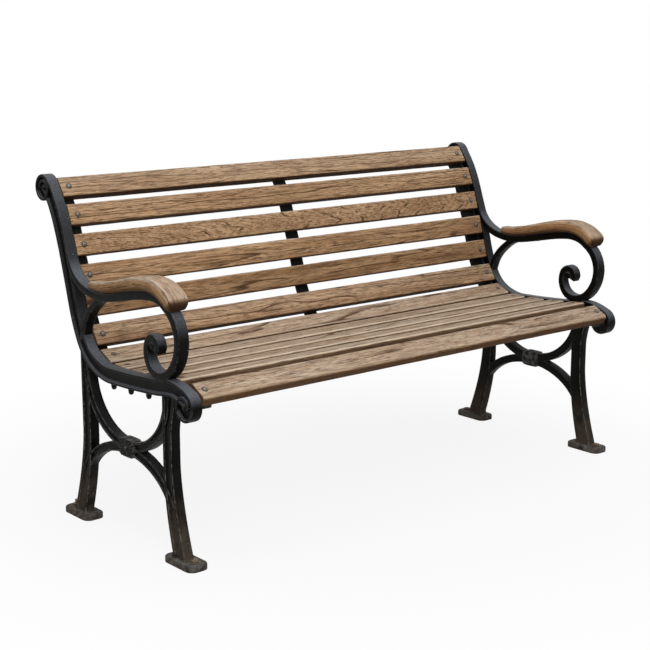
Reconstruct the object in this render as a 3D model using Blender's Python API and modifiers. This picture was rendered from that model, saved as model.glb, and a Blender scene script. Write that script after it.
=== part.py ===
"""Park bench: two cast iron end frames, twelve timber slats, two timber armrests, one iron strap.

Metres, +Z up. The bench is long in X, the sitter faces -Y, and the feet stand on Z = 0.
Profiles are drawn as (y, z) points and given their width along X.
"""

import math

import bmesh
import bpy
from mathutils import Matrix, Vector

# Slats
SLAT_LENGTH = 1.434
SLAT_WIDTH = 0.057
SLAT_THICKNESS = 0.028
SLAT_EDGE_ROUND = 0.005
SEAT_NOSE_ROUND = 0.010
# Height of the rear seat slat's face, and the places of the slats' faces from there as (y, z)
SEAT_HEIGHT = 0.431
BACK_PLACES = (
    (0.2545, 0.4185),
    (0.216, 0.351),
    (0.189, 0.277),
    (0.165, 0.202),
    (0.144, 0.128),
    (0.1125, 0.0585),
    (0.064, 0.014),
)
# Seat slats run forward at one pitch, each with its own height above the rear one, then the front slat
SEAT_PITCH = 0.0778
SEAT_RISES = (0.0, 0.0015, 0.0065, 0.0125)
FRONT_SLAT_PLACE = (-0.0935, 0.0015)
# Lean of each slat from upright in degrees, top of back to seat front
SLAT_LEANS = (35.0, 23.5, 17.5, 15.0, 16.0, 31.0, 65.0, 88.0, 92.0, 94.0, 95.0, 61.0)
BACK_SLATS = len(BACK_PLACES)

# Fits
TOUCH_GAP = 0.0003
HOLE_CLEARANCE = 0.0005
HOLE_SIDES = 8
THROUGH_ALLOWANCE = 0.004
BEND_STEP = 8.0

# Rail of the end frame
RIM_GAP = 0.010
RIM_WIDTH = 0.030
RIM_DEPTH = 0.008
RIM_PROUD = 0.001
RAIL_DEPTH = 0.041
RAIL_WEB = 0.012
BEAD_WIDTH = 0.022
BEAD_DEPTH = 0.007
FLANGE_REACH = 0.038
FLANGE_DEPTH = 0.012
BEARING_END = 0.014

# Scrolls at the two ends of the rail
TOP_SCROLL_RADIUS = 0.037
TOP_SCROLL_TURN = 500.0
TOP_SCROLL_START = 0.020
FRONT_SCROLL_RADIUS = 0.039
FRONT_SCROLL_TURN = 430.0
FRONT_SCROLL_START = 0.010
SCROLL_EYE_RADIUS = 0.010
SCROLL_EYE_SUNK = 0.003
SCROLL_DISC = 0.010
SCROLL_BAR_WIDTH = 0.029
SCROLL_BAR_DEPTH = 0.0075
SCROLL_ROOT = 0.006
SCROLL_LEAD = 0.0015

# Arm of the end frame: centre line from the back rail over the arm and round the open scroll,
# its rear part from the rear seat slat's face and its front part from the foremost level slat's
ARM_BAR_WIDTH = 0.031
ARM_BAR_DEPTH = 0.022
ARM_REAR_LINE = (
    (0.2275, 0.339),
    (0.2135, 0.306),
    (0.202, 0.272),
    (0.1875, 0.241),
    (0.1645, 0.2145),
    (0.1365, 0.1955),
    (0.1025, 0.1815),
    (0.0645, 0.176),
    (0.0085, 0.1755),
    (-0.0265, 0.1785),
    (-0.0765, 0.1885),
)
ARM_FRONT_LINE = (
    (0.097, 0.201),
    (0.042, 0.2055),
    (0.006, 0.199),
    (-0.019, 0.1855),
    (-0.034, 0.174),
    (-0.047, 0.16),
    (-0.058, 0.139),
    (-0.063, 0.115),
    (-0.0605, 0.09),
    (-0.052, 0.067),
    (-0.037, 0.045),
    (-0.016, 0.028),
    (0.01, 0.0195),
    (0.036, 0.023),
    (0.055, 0.036),
    (0.066, 0.056),
    (0.068, 0.077),
    (0.061, 0.096),
    (0.0455, 0.105),
    (0.031, 0.1),
    (0.025, 0.087),
    (0.03, 0.0745),
)
ARM_ROOT_SIZES = (0.5, 0.8)
ARM_TAPER_START = 24
ARM_TAPER = 0.86
ARM_EYE = (0.0455, 0.0865)
ARM_EYE_RADIUS = 0.0105
ARM_EYE_SUNK = 0.001
ARM_CORNER_CUT = 0.003
LOOP_BAR_WIDTH = 0.026
LOOP_BAR_DEPTH = 0.018
LOOP_LINE = (
    (0.1295, 0.047),
    (0.1225, 0.072),
    (0.1155, 0.097),
    (0.1005, 0.12),
    (0.0785, 0.139),
    (0.0465, 0.154),
    (0.0085, 0.166),
    (-0.0365, 0.179),
)

# Armrests
ARMREST_REAR = 0.0655
ARMREST_FRONT = -0.035
ARMREST_REAR_WIDTH = 0.034
ARMREST_WIDTH = 0.060
ARMREST_REAR_THICKNESS = 0.020
ARMREST_THICKNESS = 0.025
ARMREST_NOSE = 0.012
ARMREST_STEP = 0.004

# Legs
LEG_CLEARANCE = 0.001
LEG_WIDTH = 0.027
LEG_WEB = 0.018
LEG_EDGE = 0.008
LEG_DEPTH = 0.036
LEG_FOOT_DEPTH = 0.050
FRONT_LEG_FLARE = 0.046
REAR_LEG_FLARE = 0.054
LEG_FLARE_HEIGHT = 0.240
LEG_ROOT = 0.004
FRONT_LEG = -0.0035
REAR_LEG = 0.1275

# Arcs between the legs
ARC_DEPTH = 0.024
UPPER_ARC_WIDTH = 0.026
UPPER_ARC_WEB = 0.014
LOWER_ARC_WIDTH = 0.025
LOWER_ARC_WEB = 0.013
ARC_EDGE = 0.005
UPPER_ARC_FROM_FRONT_LEG = 0.002
UPPER_ARC_FROM_REAR_LEG = 0.0085
UPPER_ARC_BELOW_RAIL = 0.004
UPPER_ARC_DROP = 0.158
LOWER_ARC_RISE = 0.102
ARC_SPACING = 0.009
LOWER_ARC_START = 18.0

# Rosette where the arcs meet
ROSETTE_FORWARD = 0.0155
ROSETTE_RADIUS = 0.031
ROSETTE_LOBES = 8
ROSETTE_LOBE_HEIGHT = 0.003
ROSETTE_WIDTH = 0.044
ROSETTE_EYE_RADIUS = 0.006
ROSETTE_EYE_PROUD = 0.003

# Feet
FOOT_HEEL = 0.034
FOOT_WIDTH = 0.058
FOOT_THICKNESS = 0.016
FOOT_CORNER = 0.020
FOOT_SET_IN = 0.0025
ANCHOR_FROM_LEG = 0.0025
ANCHOR_FROM_END = 0.023

# Fasteners
BOLT_INSET = 0.020
BOLT_RADIUS = 0.004
BOLT_HEAD_RADIUS = 0.0075
BOLT_HEAD_HEIGHT = 0.0042
NUT_RADIUS = 0.0085
NUT_HEIGHT = 0.013
SCREW_RADIUS = 0.0022
SCREW_HEAD_RADIUS = 0.0055
SCREW_HEAD_HEIGHT = 0.003
SCREW_BITE = 0.016
REAR_ARM_SCREW = -0.0515
FRONT_ARM_SCREW = 0.07
ANCHOR_RADIUS = 0.005
ANCHOR_HEAD_RADIUS = 0.0095
ANCHOR_HEAD_HEIGHT = 0.006
TURNED_STEPS = 8

# Strap behind the slats
STRAP_X = -0.010
STRAP_WIDTH = 0.042
STRAP_THICKNESS = 0.006

# Places that follow from the sizes above; the rear seat slat's face is at y = 0
SEAT_FRONT = -SEAT_PITCH * (len(SEAT_RISES) - 1)
FRONT_LEG_Y = SEAT_FRONT + FRONT_LEG
REAR_LEG_Y = REAR_LEG
ARMREST_REAR_Y = ARMREST_REAR
ARMREST_FRONT_Y = SEAT_FRONT + ARMREST_FRONT
ARM_SCREW_PLACES = (REAR_ARM_SCREW, SEAT_FRONT + FRONT_ARM_SCREW)
SLAT_END = SLAT_LENGTH / 2
RIM_X = SLAT_END + RIM_GAP + RIM_WIDTH / 2
LEG_X = SLAT_END + LEG_CLEARANCE + LEG_WIDTH / 2
FOOT_X = LEG_X - FOOT_SET_IN
BOLT_X = SLAT_END - BOLT_INSET
BEARING_DEPTH = SLAT_THICKNESS + TOUCH_GAP

BENCH = bpy.data.collections.new("park_bench")
CUTTERS = bpy.data.collections.new("park_bench_cutters")


# Profile geometry


def slat_seats():
    """Each slat's middle of outer face as y, z and its lean, top of back to seat front."""
    places = [Vector(place) for place in BACK_PLACES]
    places += [Vector((-SEAT_PITCH * k, rise)) for k, rise in enumerate(SEAT_RISES)]
    places.append(Vector((SEAT_FRONT, 0.0)) + Vector(FRONT_SLAT_PLACE))
    return [(p.x, p.y + SEAT_HEIGHT, lean) for p, lean in zip(places, SLAT_LEANS)]


SEATS = slat_seats()


def along(lean):
    """Unit (y, z) step from the top of the back towards the seat front for a lean in degrees."""
    angle = math.radians(lean)
    return Vector((-math.sin(angle), -math.cos(angle)))


def sitter_side(direction):
    """Unit (y, z) step towards the sitter, square to a direction along the rail."""
    return Vector((direction.y, -direction.x))


def directions(path):
    """Unit directions at the points of a path, each the mean of its two neighbours' steps."""
    steps = [(b - a).normalized() for a, b in zip(path, path[1:])]
    middles = [(a + b).normalized() for a, b in zip(steps, steps[1:])]
    return [steps[0]] + middles + [steps[-1]]


def shifted(path, distance):
    """The path moved sideways, positive towards the sitter."""
    return [p + sitter_side(d) * distance for p, d in zip(path, directions(path))]


def flowing(start, start_step, end, end_step, count):
    """Points after start on the cubic curve that leaves and arrives along the given steps."""
    reach = (end - start).length
    points = []
    for k in range(1, count + 1):
        t = k / count
        h = (2 * t**3 - 3 * t**2 + 1, t**3 - 2 * t**2 + t, -2 * t**3 + 3 * t**2, t**3 - t**2)
        points.append(start * h[0] + start_step * reach * h[1] + end * h[2] + end_step * reach * h[3])
    return points


def curl(start, direction, turn_sign, radius, inner_radius, turn, step=36.0):
    """Points of a scroll that winds in from start, with its centre as the second value."""
    inward = Vector((-direction.y, direction.x)) * turn_sign
    centre = start + inward * radius
    count = round(turn / step)
    points = []
    for k in range(1, count + 1):
        share = k / count
        arm = Matrix.Rotation(math.radians(turn) * share * turn_sign, 2) @ (-inward)
        points.append(centre + arm * (radius + (inner_radius - radius) * share**1.6))
    return points, centre


def ellipse_arc(centre, reach, start, end, count):
    """Points on an upright ellipse between two angles in degrees."""
    points = []
    for k in range(count + 1):
        angle = math.radians(start + (end - start) * k / count)
        points.append(Vector((centre[0] + reach[0] * math.cos(angle), centre[1] + reach[1] * math.sin(angle))))
    return points


def seat_line():
    """Outer line of back and seat from the top scroll to the front scroll, through the gaps between slats."""
    stations = [seat_station(SEATS[0], -TOP_SCROLL_START)]
    for upper, lower in zip(SEATS, SEATS[1:]):
        middle = (seat_station(upper, SLAT_WIDTH / 2)[0] + seat_station(lower, -SLAT_WIDTH / 2)[0]) / 2
        stations.append((middle, (upper[2] + lower[2]) / 2))
    stations.append(seat_station(SEATS[-1], FRONT_SCROLL_START))
    line = [stations[0][0]]
    for (start, lean0), (end, lean1) in zip(stations, stations[1:]):
        count = max(1, math.ceil(abs(lean1 - lean0) / BEND_STEP))
        line += flowing(start, along(lean0), end, along(lean1), count)
    return line


def seat_station(seat, distance):
    """Point on a slat's outer face at a distance from its middle, with the slat's lean."""
    y, z, lean = seat
    return Vector((y, z)) + along(lean) * distance, lean


def scroll(start, direction, turn_sign, radius, turn):
    """Centre line of a scroll bar that winds in from the end of the rail, and the scroll's centre."""
    inner = SCROLL_EYE_RADIUS + SCROLL_BAR_DEPTH
    points, centre = curl(start, direction, turn_sign, radius, inner, turn)
    inward = Vector((-direction.y, direction.x)) * turn_sign
    depth = RIM_DEPTH / 2 - RIM_PROUD
    bar = [start + inward * depth - direction * SCROLL_ROOT, start + inward * depth + direction * SCROLL_LEAD]
    for p in points:
        bar.append(p + (centre - p).normalized() * depth)
    return bar, centre


def top_scroll():
    """Scroll above the first slat."""
    return scroll(seat_line()[0], -along(SEATS[0][2]), -1.0, TOP_SCROLL_RADIUS, TOP_SCROLL_TURN)


def front_scroll():
    """Scroll below the front slat."""
    return scroll(seat_line()[-1], along(SEATS[-1][2]), 1.0, FRONT_SCROLL_RADIUS, FRONT_SCROLL_TURN)


def slat_corners(seat, depth):
    """The two points across a slat's width at a depth behind its outer face."""
    y, z, lean = seat
    middle = Vector((y, z)) - sitter_side(along(lean)) * depth
    half = along(lean) * SLAT_WIDTH / 2
    return [middle - half, middle + half]


def bearing_line(depth):
    """Line of flat seats behind the slats, at a depth behind their outer faces."""
    line = [corner for seat in SEATS for corner in slat_corners(seat, depth)]
    line[0] = line[0] + along(SEATS[0][2]) * BEARING_END
    line[-1] = line[-1] - along(SEATS[-1][2]) * BEARING_END
    return line


# Solids


def link(obj, collection):
    collection.objects.link(obj)
    return obj


def mesh_object(name, mesh):
    return link(bpy.data.objects.new(name, mesh), BENCH)


def welded(bm, name):
    """Closed mesh from a bmesh with its seams joined and its faces turned outward."""
    bmesh.ops.remove_doubles(bm, verts=bm.verts, dist=0.00001)
    bmesh.ops.recalc_face_normals(bm, faces=bm.faces)
    mesh = bpy.data.meshes.new(name)
    bm.to_mesh(mesh)
    bm.free()
    return mesh


def evaluated_mesh(obj):
    bpy.context.view_layer.update()
    graph = bpy.context.evaluated_depsgraph_get()
    return bpy.data.meshes.new_from_object(obj.evaluated_get(graph), depsgraph=graph)


def solid_from_curve(obj):
    """Mesh object in place of a curve object, with the curve's placement in the mesh."""
    bm = bmesh.new()
    bm.from_mesh(evaluated_mesh(obj))
    bmesh.ops.transform(bm, matrix=obj.matrix_world, verts=bm.verts)
    name = obj.name
    bpy.data.objects.remove(obj)
    return mesh_object(name, welded(bm, name))


def curve_points(curve, points, cyclic):
    spline = curve.splines.new("POLY")
    spline.points.add(len(points) - 1)
    for target, point in zip(spline.points, points):
        target.co = (point[0], point[1], 0.0, 1.0)
    spline.use_cyclic_u = cyclic
    return spline


def profile_object(name, curve, x):
    """Curve object whose drawing plane stands upright across the bench at x."""
    obj = link(bpy.data.objects.new(name, curve), BENCH)
    obj.rotation_euler = (math.pi / 2, 0.0, math.pi / 2)
    obj.location = (x, 0.0, 0.0)
    return obj


def plate(name, outline, x_from, x_to):
    """Flat solid with a (y, z) outline, between two places along X."""
    curve = bpy.data.curves.new(name, "CURVE")
    curve.dimensions = "2D"
    curve.fill_mode = "BOTH"
    curve.extrude = abs(x_to - x_from) / 2
    curve_points(curve, outline, True)
    return solid_from_curve(profile_object(name, curve, (x_from + x_to) / 2))


def sweep(name, path, section, x, sizes=None):
    """Bar with a (depth, width) section that follows a path in the upright plane at x, scaled by sizes."""
    shape_curve = bpy.data.curves.new(name + "_section", "CURVE")
    shape_curve.dimensions = "2D"
    curve_points(shape_curve, section, True)
    shape = link(bpy.data.objects.new(name + "_section", shape_curve), BENCH)
    curve = bpy.data.curves.new(name, "CURVE")
    curve.dimensions = "3D"
    curve.twist_mode = "Z_UP"
    curve.bevel_mode = "OBJECT"
    curve.bevel_object = shape
    curve.use_fill_caps = True
    spline = curve_points(curve, path, False)
    for point, size in zip(spline.points, sizes or []):
        point.radius = size
    solid = solid_from_curve(profile_object(name, curve, x))
    bpy.data.objects.remove(shape)
    return solid


def loft(name, rings):
    """Closed solid through rings with equal counts of points."""
    bm = bmesh.new()
    rows = [[bm.verts.new(p) for p in ring] for ring in rings]
    count = len(rows[0])
    for a, b in zip(rows, rows[1:]):
        for k in range(count):
            n = (k + 1) % count
            bm.faces.new((a[k], a[n], b[n], b[k]))
    bm.faces.new(rows[0])
    bm.faces.new(rows[-1][::-1])
    return mesh_object(name, welded(bm, name))


def drum(name, centre, radius, x_from, x_to, sides=16):
    """Round plate about a (y, z) centre."""
    return plate(name, ellipse_arc(centre, (radius, radius), 0.0, 360.0 - 360.0 / sides, sides - 1), x_from, x_to)


def combine(target, others, operation):
    """Join other solids to a target, or cut them from it, in one step, and remove them."""
    group = bpy.data.collections.new("operands")
    for other in others:
        group.objects.link(other)
    modifier = target.modifiers.new(operation.lower(), "BOOLEAN")
    modifier.operation = operation
    modifier.solver = "EXACT"
    modifier.operand_type = "COLLECTION"
    modifier.collection = group
    mesh = evaluated_mesh(target)
    target.modifiers.clear()
    target.data = mesh
    for other in others:
        bpy.data.objects.remove(other)
    bpy.data.collections.remove(group)
    bm = bmesh.new()
    bm.from_mesh(target.data)
    bmesh.ops.remove_doubles(bm, verts=bm.verts, dist=0.00002)
    bm.to_mesh(target.data)
    bm.free()
    return target


def axis_matrix(place, axis):
    """Placement with local Z along an axis square to X."""
    turn = Matrix.Rotation(math.atan2(-axis.y, axis.z), 4, "X")
    return Matrix.Translation(place) @ turn


def drill(name, holes):
    """One cutter for several round holes, each (entry place, axis out of it, radius, depth)."""
    bm = bmesh.new()
    for place, axis, radius, depth in holes:
        length = depth + THROUGH_ALLOWANCE
        middle = axis_matrix(place, axis) @ Matrix.Translation((0.0, 0.0, THROUGH_ALLOWANCE - length / 2))
        bmesh.ops.create_cone(
            bm, cap_ends=True, segments=HOLE_SIDES, radius1=radius, radius2=radius, depth=length, matrix=middle
        )
    mesh = bpy.data.meshes.new(name)
    bm.to_mesh(mesh)
    bm.free()
    obj = link(bpy.data.objects.new(name, mesh), CUTTERS)
    obj.hide_render = True
    obj.display_type = "WIRE"
    return obj


def turned(name, profile):
    """Round solid about Z from a (radius, z) profile that runs top to bottom."""
    mesh = bpy.data.meshes.new(name)
    mesh.from_pydata([(r, 0.0, z) for r, z in profile], [(k, k + 1) for k in range(len(profile) - 1)], [])
    obj = mesh_object(name, mesh)
    screw = obj.modifiers.new("turn", "SCREW")
    screw.steps = TURNED_STEPS
    screw.render_steps = TURNED_STEPS
    screw.use_merge_vertices = True
    screw.merge_threshold = 0.00001
    bm = bmesh.new()
    bm.from_mesh(evaluated_mesh(obj))
    obj.modifiers.clear()
    obj.data = welded(bm, name)
    return obj


def hex_prism(name, radius, bottom, top):
    bm = bmesh.new()
    middle = Matrix.Translation((0.0, 0.0, (bottom + top) / 2))
    bmesh.ops.create_cone(
        bm, cap_ends=True, segments=6, radius1=radius, radius2=radius, depth=top - bottom, matrix=middle
    )
    return mesh_object(name, welded(bm, name))


def mirrored(obj, name):
    """Copy of a solid on the other end of the bench."""
    bm = bmesh.new()
    bm.from_mesh(obj.data)
    bmesh.ops.scale(bm, vec=(-1.0, 1.0, 1.0), verts=bm.verts)
    bmesh.ops.reverse_faces(bm, faces=bm.faces)
    mesh = bpy.data.meshes.new(name)
    bm.to_mesh(mesh)
    bm.free()
    return mesh_object(name, mesh)


def placed_copy(source, name, place, axis):
    """Copy of a fastener with its axis along a direction."""
    obj = mesh_object(name, source.data.copy())
    obj.matrix_world = axis_matrix(place, axis)
    return obj


# Materials


def finish(name, colour, roughness, metallic):
    material = bpy.data.materials.new(name)
    material.use_nodes = True
    shader = material.node_tree.nodes["Principled BSDF"]
    shader.inputs["Base Color"].default_value = (*colour, 1.0)
    shader.inputs["Roughness"].default_value = roughness
    shader.inputs["Metallic"].default_value = metallic
    material.diffuse_color = (*colour, 1.0)
    return material


def painted_iron():
    return finish("painted_cast_iron", (0.016, 0.016, 0.015), 0.45, 0.0)


def weathered_timber():
    return finish("weathered_timber", (0.24, 0.145, 0.085), 0.7, 0.0)


def armrest_timber():
    return finish("armrest_timber", (0.27, 0.175, 0.105), 0.65, 0.0)


def zinc():
    return finish("zinc_plated_steel", (0.33, 0.32, 0.30), 0.4, 1.0)


def rusted_steel():
    return finish("rusted_steel", (0.17, 0.11, 0.06), 0.75, 0.6)


def cover(objects, material):
    for obj in objects:
        obj.data.materials.clear()
        obj.data.materials.append(material)


# Sections


def square_bar(depth, width):
    return [(-depth / 2, -width / 2), (depth / 2, -width / 2), (depth / 2, width / 2), (-depth / 2, width / 2)]


def rounded_bar(depth, width, cut):
    """Bar section with its four corners cut off."""
    d = depth / 2
    w = width / 2
    return [
        (-d, -w + cut), (-d + cut, -w), (d - cut, -w), (d, -w + cut),
        (d, w - cut), (d - cut, w), (-d + cut, w), (-d, w - cut),
    ]


def channelled_bar(depth, width, web, edge):
    """Bar section with a hollow between two raised edges on both flat sides."""
    d = depth / 2
    w = width / 2
    b = web / 2
    e = d - edge
    return [
        (-d, -w), (-e, -w), (-e, -b), (e, -b), (e, -w), (d, -w),
        (d, w), (e, w), (e, b), (-e, b), (-e, w), (-d, w),
    ]


# Pieces of an end frame, drawn for the end at +X


def rail_section():
    """Rim towards the sitter, thin web, and bead along the other edge."""
    d = RAIL_DEPTH / 2
    r = RIM_WIDTH / 2
    b = BEAD_WIDTH / 2
    w = RAIL_WEB / 2
    half = [(d, r), (d - RIM_DEPTH, r), (d - RIM_DEPTH, w), (BEAD_DEPTH - d, w), (BEAD_DEPTH - d, b), (-d, b)]
    return half + [(depth, -width) for depth, width in reversed(half)]


def rail_pieces():
    """Rail with its slat flange and the scrolls at its two ends."""
    line = seat_line()
    rail = sweep("rail", shifted(line, RIM_PROUD - RAIL_DEPTH / 2), rail_section(), RIM_X)
    flange_line = bearing_line(BEARING_DEPTH) + bearing_line(BEARING_DEPTH + FLANGE_DEPTH)[::-1]
    flange = plate("flange", flange_line, SLAT_END - FLANGE_REACH, RIM_X - RAIL_WEB / 4)
    pieces = [rail, flange]
    section = square_bar(SCROLL_BAR_DEPTH, SCROLL_BAR_WIDTH)
    for (bar, centre), radius in ((top_scroll(), TOP_SCROLL_RADIUS), (front_scroll(), FRONT_SCROLL_RADIUS)):
        half_eye = SCROLL_BAR_WIDTH / 2 - SCROLL_EYE_SUNK
        pieces.append(sweep("scroll", bar, section, RIM_X))
        disc_radius = radius - RIM_DEPTH
        pieces.append(drum("disc", centre, disc_radius, RIM_X - SCROLL_DISC / 2, RIM_X + SCROLL_DISC / 2, 12))
        pieces.append(drum("eye", centre, SCROLL_EYE_RADIUS, RIM_X - half_eye, RIM_X + half_eye, 10))
    return pieces


def arm_path():
    """Centre line of the arm bar from the back rail to the inner end of the open scroll."""
    rear = [Vector((y, z + SEAT_HEIGHT)) for y, z in ARM_REAR_LINE]
    return rear + [Vector((y + SEAT_FRONT, z + SEAT_HEIGHT)) for y, z in ARM_FRONT_LINE]


def arm_pieces():
    """Arm bar with its open scroll, and the bar that closes the arm loop against the back."""
    path = arm_path()
    last = len(path) - 1
    sizes = []
    for k in range(len(path)):
        share = max(0.0, (k - ARM_TAPER_START) / (last - ARM_TAPER_START))
        sizes.append(1.0 + (ARM_TAPER - 1.0) * min(1.0, 2.0 * share))
    sizes[:len(ARM_ROOT_SIZES)] = ARM_ROOT_SIZES
    arm = sweep("arm", path, rounded_bar(ARM_BAR_DEPTH, ARM_BAR_WIDTH, ARM_CORNER_CUT), RIM_X, sizes)
    half = ARM_BAR_WIDTH * ARM_TAPER / 2 - ARM_EYE_SUNK
    centre = (ARM_EYE[0] + SEAT_FRONT, ARM_EYE[1] + SEAT_HEIGHT)
    eye = drum("arm_eye", centre, ARM_EYE_RADIUS, RIM_X - half, RIM_X + half)
    loop_path = [Vector((y, z + SEAT_HEIGHT)) for y, z in LOOP_LINE]
    loop = sweep("loop", loop_path, rounded_bar(LOOP_BAR_DEPTH, LOOP_BAR_WIDTH, ARM_CORNER_CUT), RIM_X)
    return [arm, eye, loop]


def rail_underside(y):
    """Height of the rail's lower edge at y."""
    line = shifted(seat_line(), RIM_PROUD - RAIL_DEPTH)
    for a, b in zip(line, line[1:]):
        if b.x <= y <= a.x:
            return a.lerp(b, (a.x - y) / (a.x - b.x)).y
    raise ValueError("the rail does not reach the leg")


def leg_middle(straight_y, flare, height):
    """Middle line of a leg: upright above, flaring out below."""
    share = max(0.0, 1.0 - height / LEG_FLARE_HEIGHT)
    return straight_y + flare * share**1.7


def leg_ring(middle, depth, height, slope):
    section = channelled_bar(depth, LEG_WIDTH, LEG_WEB, LEG_EDGE)
    return [(LEG_X + w, middle + d, height + slope * d) for d, w in section]


def leg(name, straight_y, flare):
    """Leg from the rail's lower edge down into its foot."""
    half = LEG_DEPTH / 2
    slope = (rail_underside(straight_y + half) - rail_underside(straight_y - half)) / LEG_DEPTH
    rings = [leg_ring(straight_y, LEG_DEPTH, rail_underside(straight_y) + LEG_ROOT, slope)]
    for share in (0.0, 0.25, 0.5, 0.75, 1.0):
        height = LEG_FLARE_HEIGHT + (FOOT_THICKNESS / 2 - LEG_FLARE_HEIGHT) * share
        depth = LEG_DEPTH + (LEG_FOOT_DEPTH - LEG_DEPTH) * share
        rings.append(leg_ring(leg_middle(straight_y, flare, height), depth, height, 0.0))
    return loft(name, rings)


def arc_pieces():
    """Upper and lower arcs and the rosette that joins them."""
    y_from = FRONT_LEG_Y + UPPER_ARC_FROM_FRONT_LEG
    y_to = REAR_LEG_Y - UPPER_ARC_FROM_REAR_LEG
    upper_middle = (y_from + y_to) / 2
    upper_ends = rail_underside(FRONT_LEG_Y) - UPPER_ARC_BELOW_RAIL
    upper_section = channelled_bar(ARC_DEPTH, UPPER_ARC_WIDTH, UPPER_ARC_WEB, ARC_EDGE)
    upper_reach = ((y_to - y_from) / 2, UPPER_ARC_DROP)
    upper_path = ellipse_arc((upper_middle, upper_ends), upper_reach, 180.0, 360.0, 12)
    upper = sweep("upper_arc", upper_path, upper_section, LEG_X)
    lower_top = upper_ends - UPPER_ARC_DROP - ARC_SPACING
    y_from = leg_middle(FRONT_LEG_Y, -FRONT_LEG_FLARE, lower_top - LOWER_ARC_RISE)
    y_to = leg_middle(REAR_LEG_Y, REAR_LEG_FLARE, lower_top - LOWER_ARC_RISE)
    start = math.radians(LOWER_ARC_START)
    rise = LOWER_ARC_RISE / (1.0 - math.sin(start))
    lower_centre = ((y_from + y_to) / 2, lower_top - rise)
    lower_reach = ((y_to - y_from) / 2 / math.cos(start), rise)
    lower_path = ellipse_arc(lower_centre, lower_reach, LOWER_ARC_START, 180.0 - LOWER_ARC_START, 10)
    lower_section = channelled_bar(ARC_DEPTH, LOWER_ARC_WIDTH, LOWER_ARC_WEB, ARC_EDGE)
    lower = sweep("lower_arc", lower_path, lower_section, LEG_X)
    meeting = (upper_middle - ROSETTE_FORWARD, lower_top + ARC_SPACING / 2)
    outline = []
    for k in range(2 * ROSETTE_LOBES):
        angle = math.pi * k / ROSETTE_LOBES
        radius = ROSETTE_RADIUS - (k % 2) * ROSETTE_LOBE_HEIGHT
        outline.append((meeting[0] + radius * math.cos(angle), meeting[1] + radius * math.sin(angle)))
    half = ROSETTE_WIDTH / 2
    collar = plate("rosette", outline, LEG_X - half, LEG_X + half)
    half += ROSETTE_EYE_PROUD
    eye = drum("rosette_eye", meeting, ROSETTE_EYE_RADIUS, LEG_X - half, LEG_X + half, 10)
    return [upper, lower, collar, eye]


def foot_reach(end):
    """Leg's middle at its foot, the anchor bolt and the toe as y places; end is -1 in front and 1 behind."""
    middle = FRONT_LEG_Y - FRONT_LEG_FLARE if end < 0 else REAR_LEG_Y + REAR_LEG_FLARE
    anchor = middle + end * (LEG_FOOT_DEPTH / 2 + ANCHOR_FROM_LEG + ANCHOR_HEAD_RADIUS)
    return middle, anchor, anchor + end * ANCHOR_FROM_END


def foot(name, end):
    """Flat pad with rounded corners, standing on the floor."""
    middle, anchor, toe = foot_reach(end)
    heel = middle - end * (LEG_FOOT_DEPTH / 2 + FOOT_HEEL)
    y = (toe + heel) / 2
    half_x = FOOT_WIDTH / 2 - FOOT_CORNER
    half_y = abs(toe - heel) / 2 - FOOT_CORNER
    ring = []
    for start, sx, sy in ((0.0, 1, 1), (90.0, -1, 1), (180.0, -1, -1), (270.0, 1, -1)):
        for k in range(4):
            angle = math.radians(start + 30.0 * k)
            corner_x = FOOT_X + sx * half_x + FOOT_CORNER * math.cos(angle)
            ring.append((corner_x, y + sy * half_y + FOOT_CORNER * math.sin(angle)))
    return loft(name, [[(x, v, z) for x, v in ring] for z in (FOOT_THICKNESS, 0.0)])


def anchor_place(end):
    """Middle of an anchor bolt on top of a foot; end is -1 in front and 1 behind."""
    return Vector((FOOT_X, foot_reach(end)[1], FOOT_THICKNESS))


def arm_station(y):
    """Point on the centre line of the arm bar's upper run at y, and the direction out of its upper side."""
    path = arm_path()
    sides = [sitter_side(d) for d in directions(path)]
    for k in range(len(path) - 1):
        if path[k + 1].x <= y <= path[k].x:
            share = (path[k].x - y) / (path[k].x - path[k + 1].x)
            return path[k].lerp(path[k + 1], share), sides[k].lerp(sides[k + 1], share)
    raise ValueError("the arm bar does not reach this place")


def arm_screw_place(y):
    """Middle of the arm bar at a screw, and the screw's axis up through the armrest."""
    point, side = arm_station(y)
    return Vector((RIM_X, point.x, point.y)), Vector((0.0, side.x, side.y)).normalized()


def slat_frame(seat):
    """Middle of a slat's outer face at x = 0, and the direction out of that face."""
    y, z, lean = seat
    side = sitter_side(along(lean))
    return Vector((0.0, y, z)), Vector((0.0, side.x, side.y))


def frame_holes():
    """Holes for slat bolts, armrest screws and anchor bolts."""
    holes = []
    for seat in SEATS:
        place, axis = slat_frame(seat)
        entry = place + Vector((BOLT_X, 0.0, 0.0)) - axis * BEARING_DEPTH
        holes.append((entry, axis, BOLT_RADIUS + HOLE_CLEARANCE, FLANGE_DEPTH + THROUGH_ALLOWANCE))
    for y in ARM_SCREW_PLACES:
        place, axis = arm_screw_place(y)
        entry = place + axis * ARM_BAR_DEPTH / 2
        holes.append((entry, axis, SCREW_RADIUS + HOLE_CLEARANCE, ARM_BAR_DEPTH + THROUGH_ALLOWANCE))
    for end in (-1, 1):
        up = Vector((0.0, 0.0, 1.0))
        holes.append((anchor_place(end), up, ANCHOR_RADIUS + HOLE_CLEARANCE, FOOT_THICKNESS + THROUGH_ALLOWANCE))
    return holes


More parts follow.
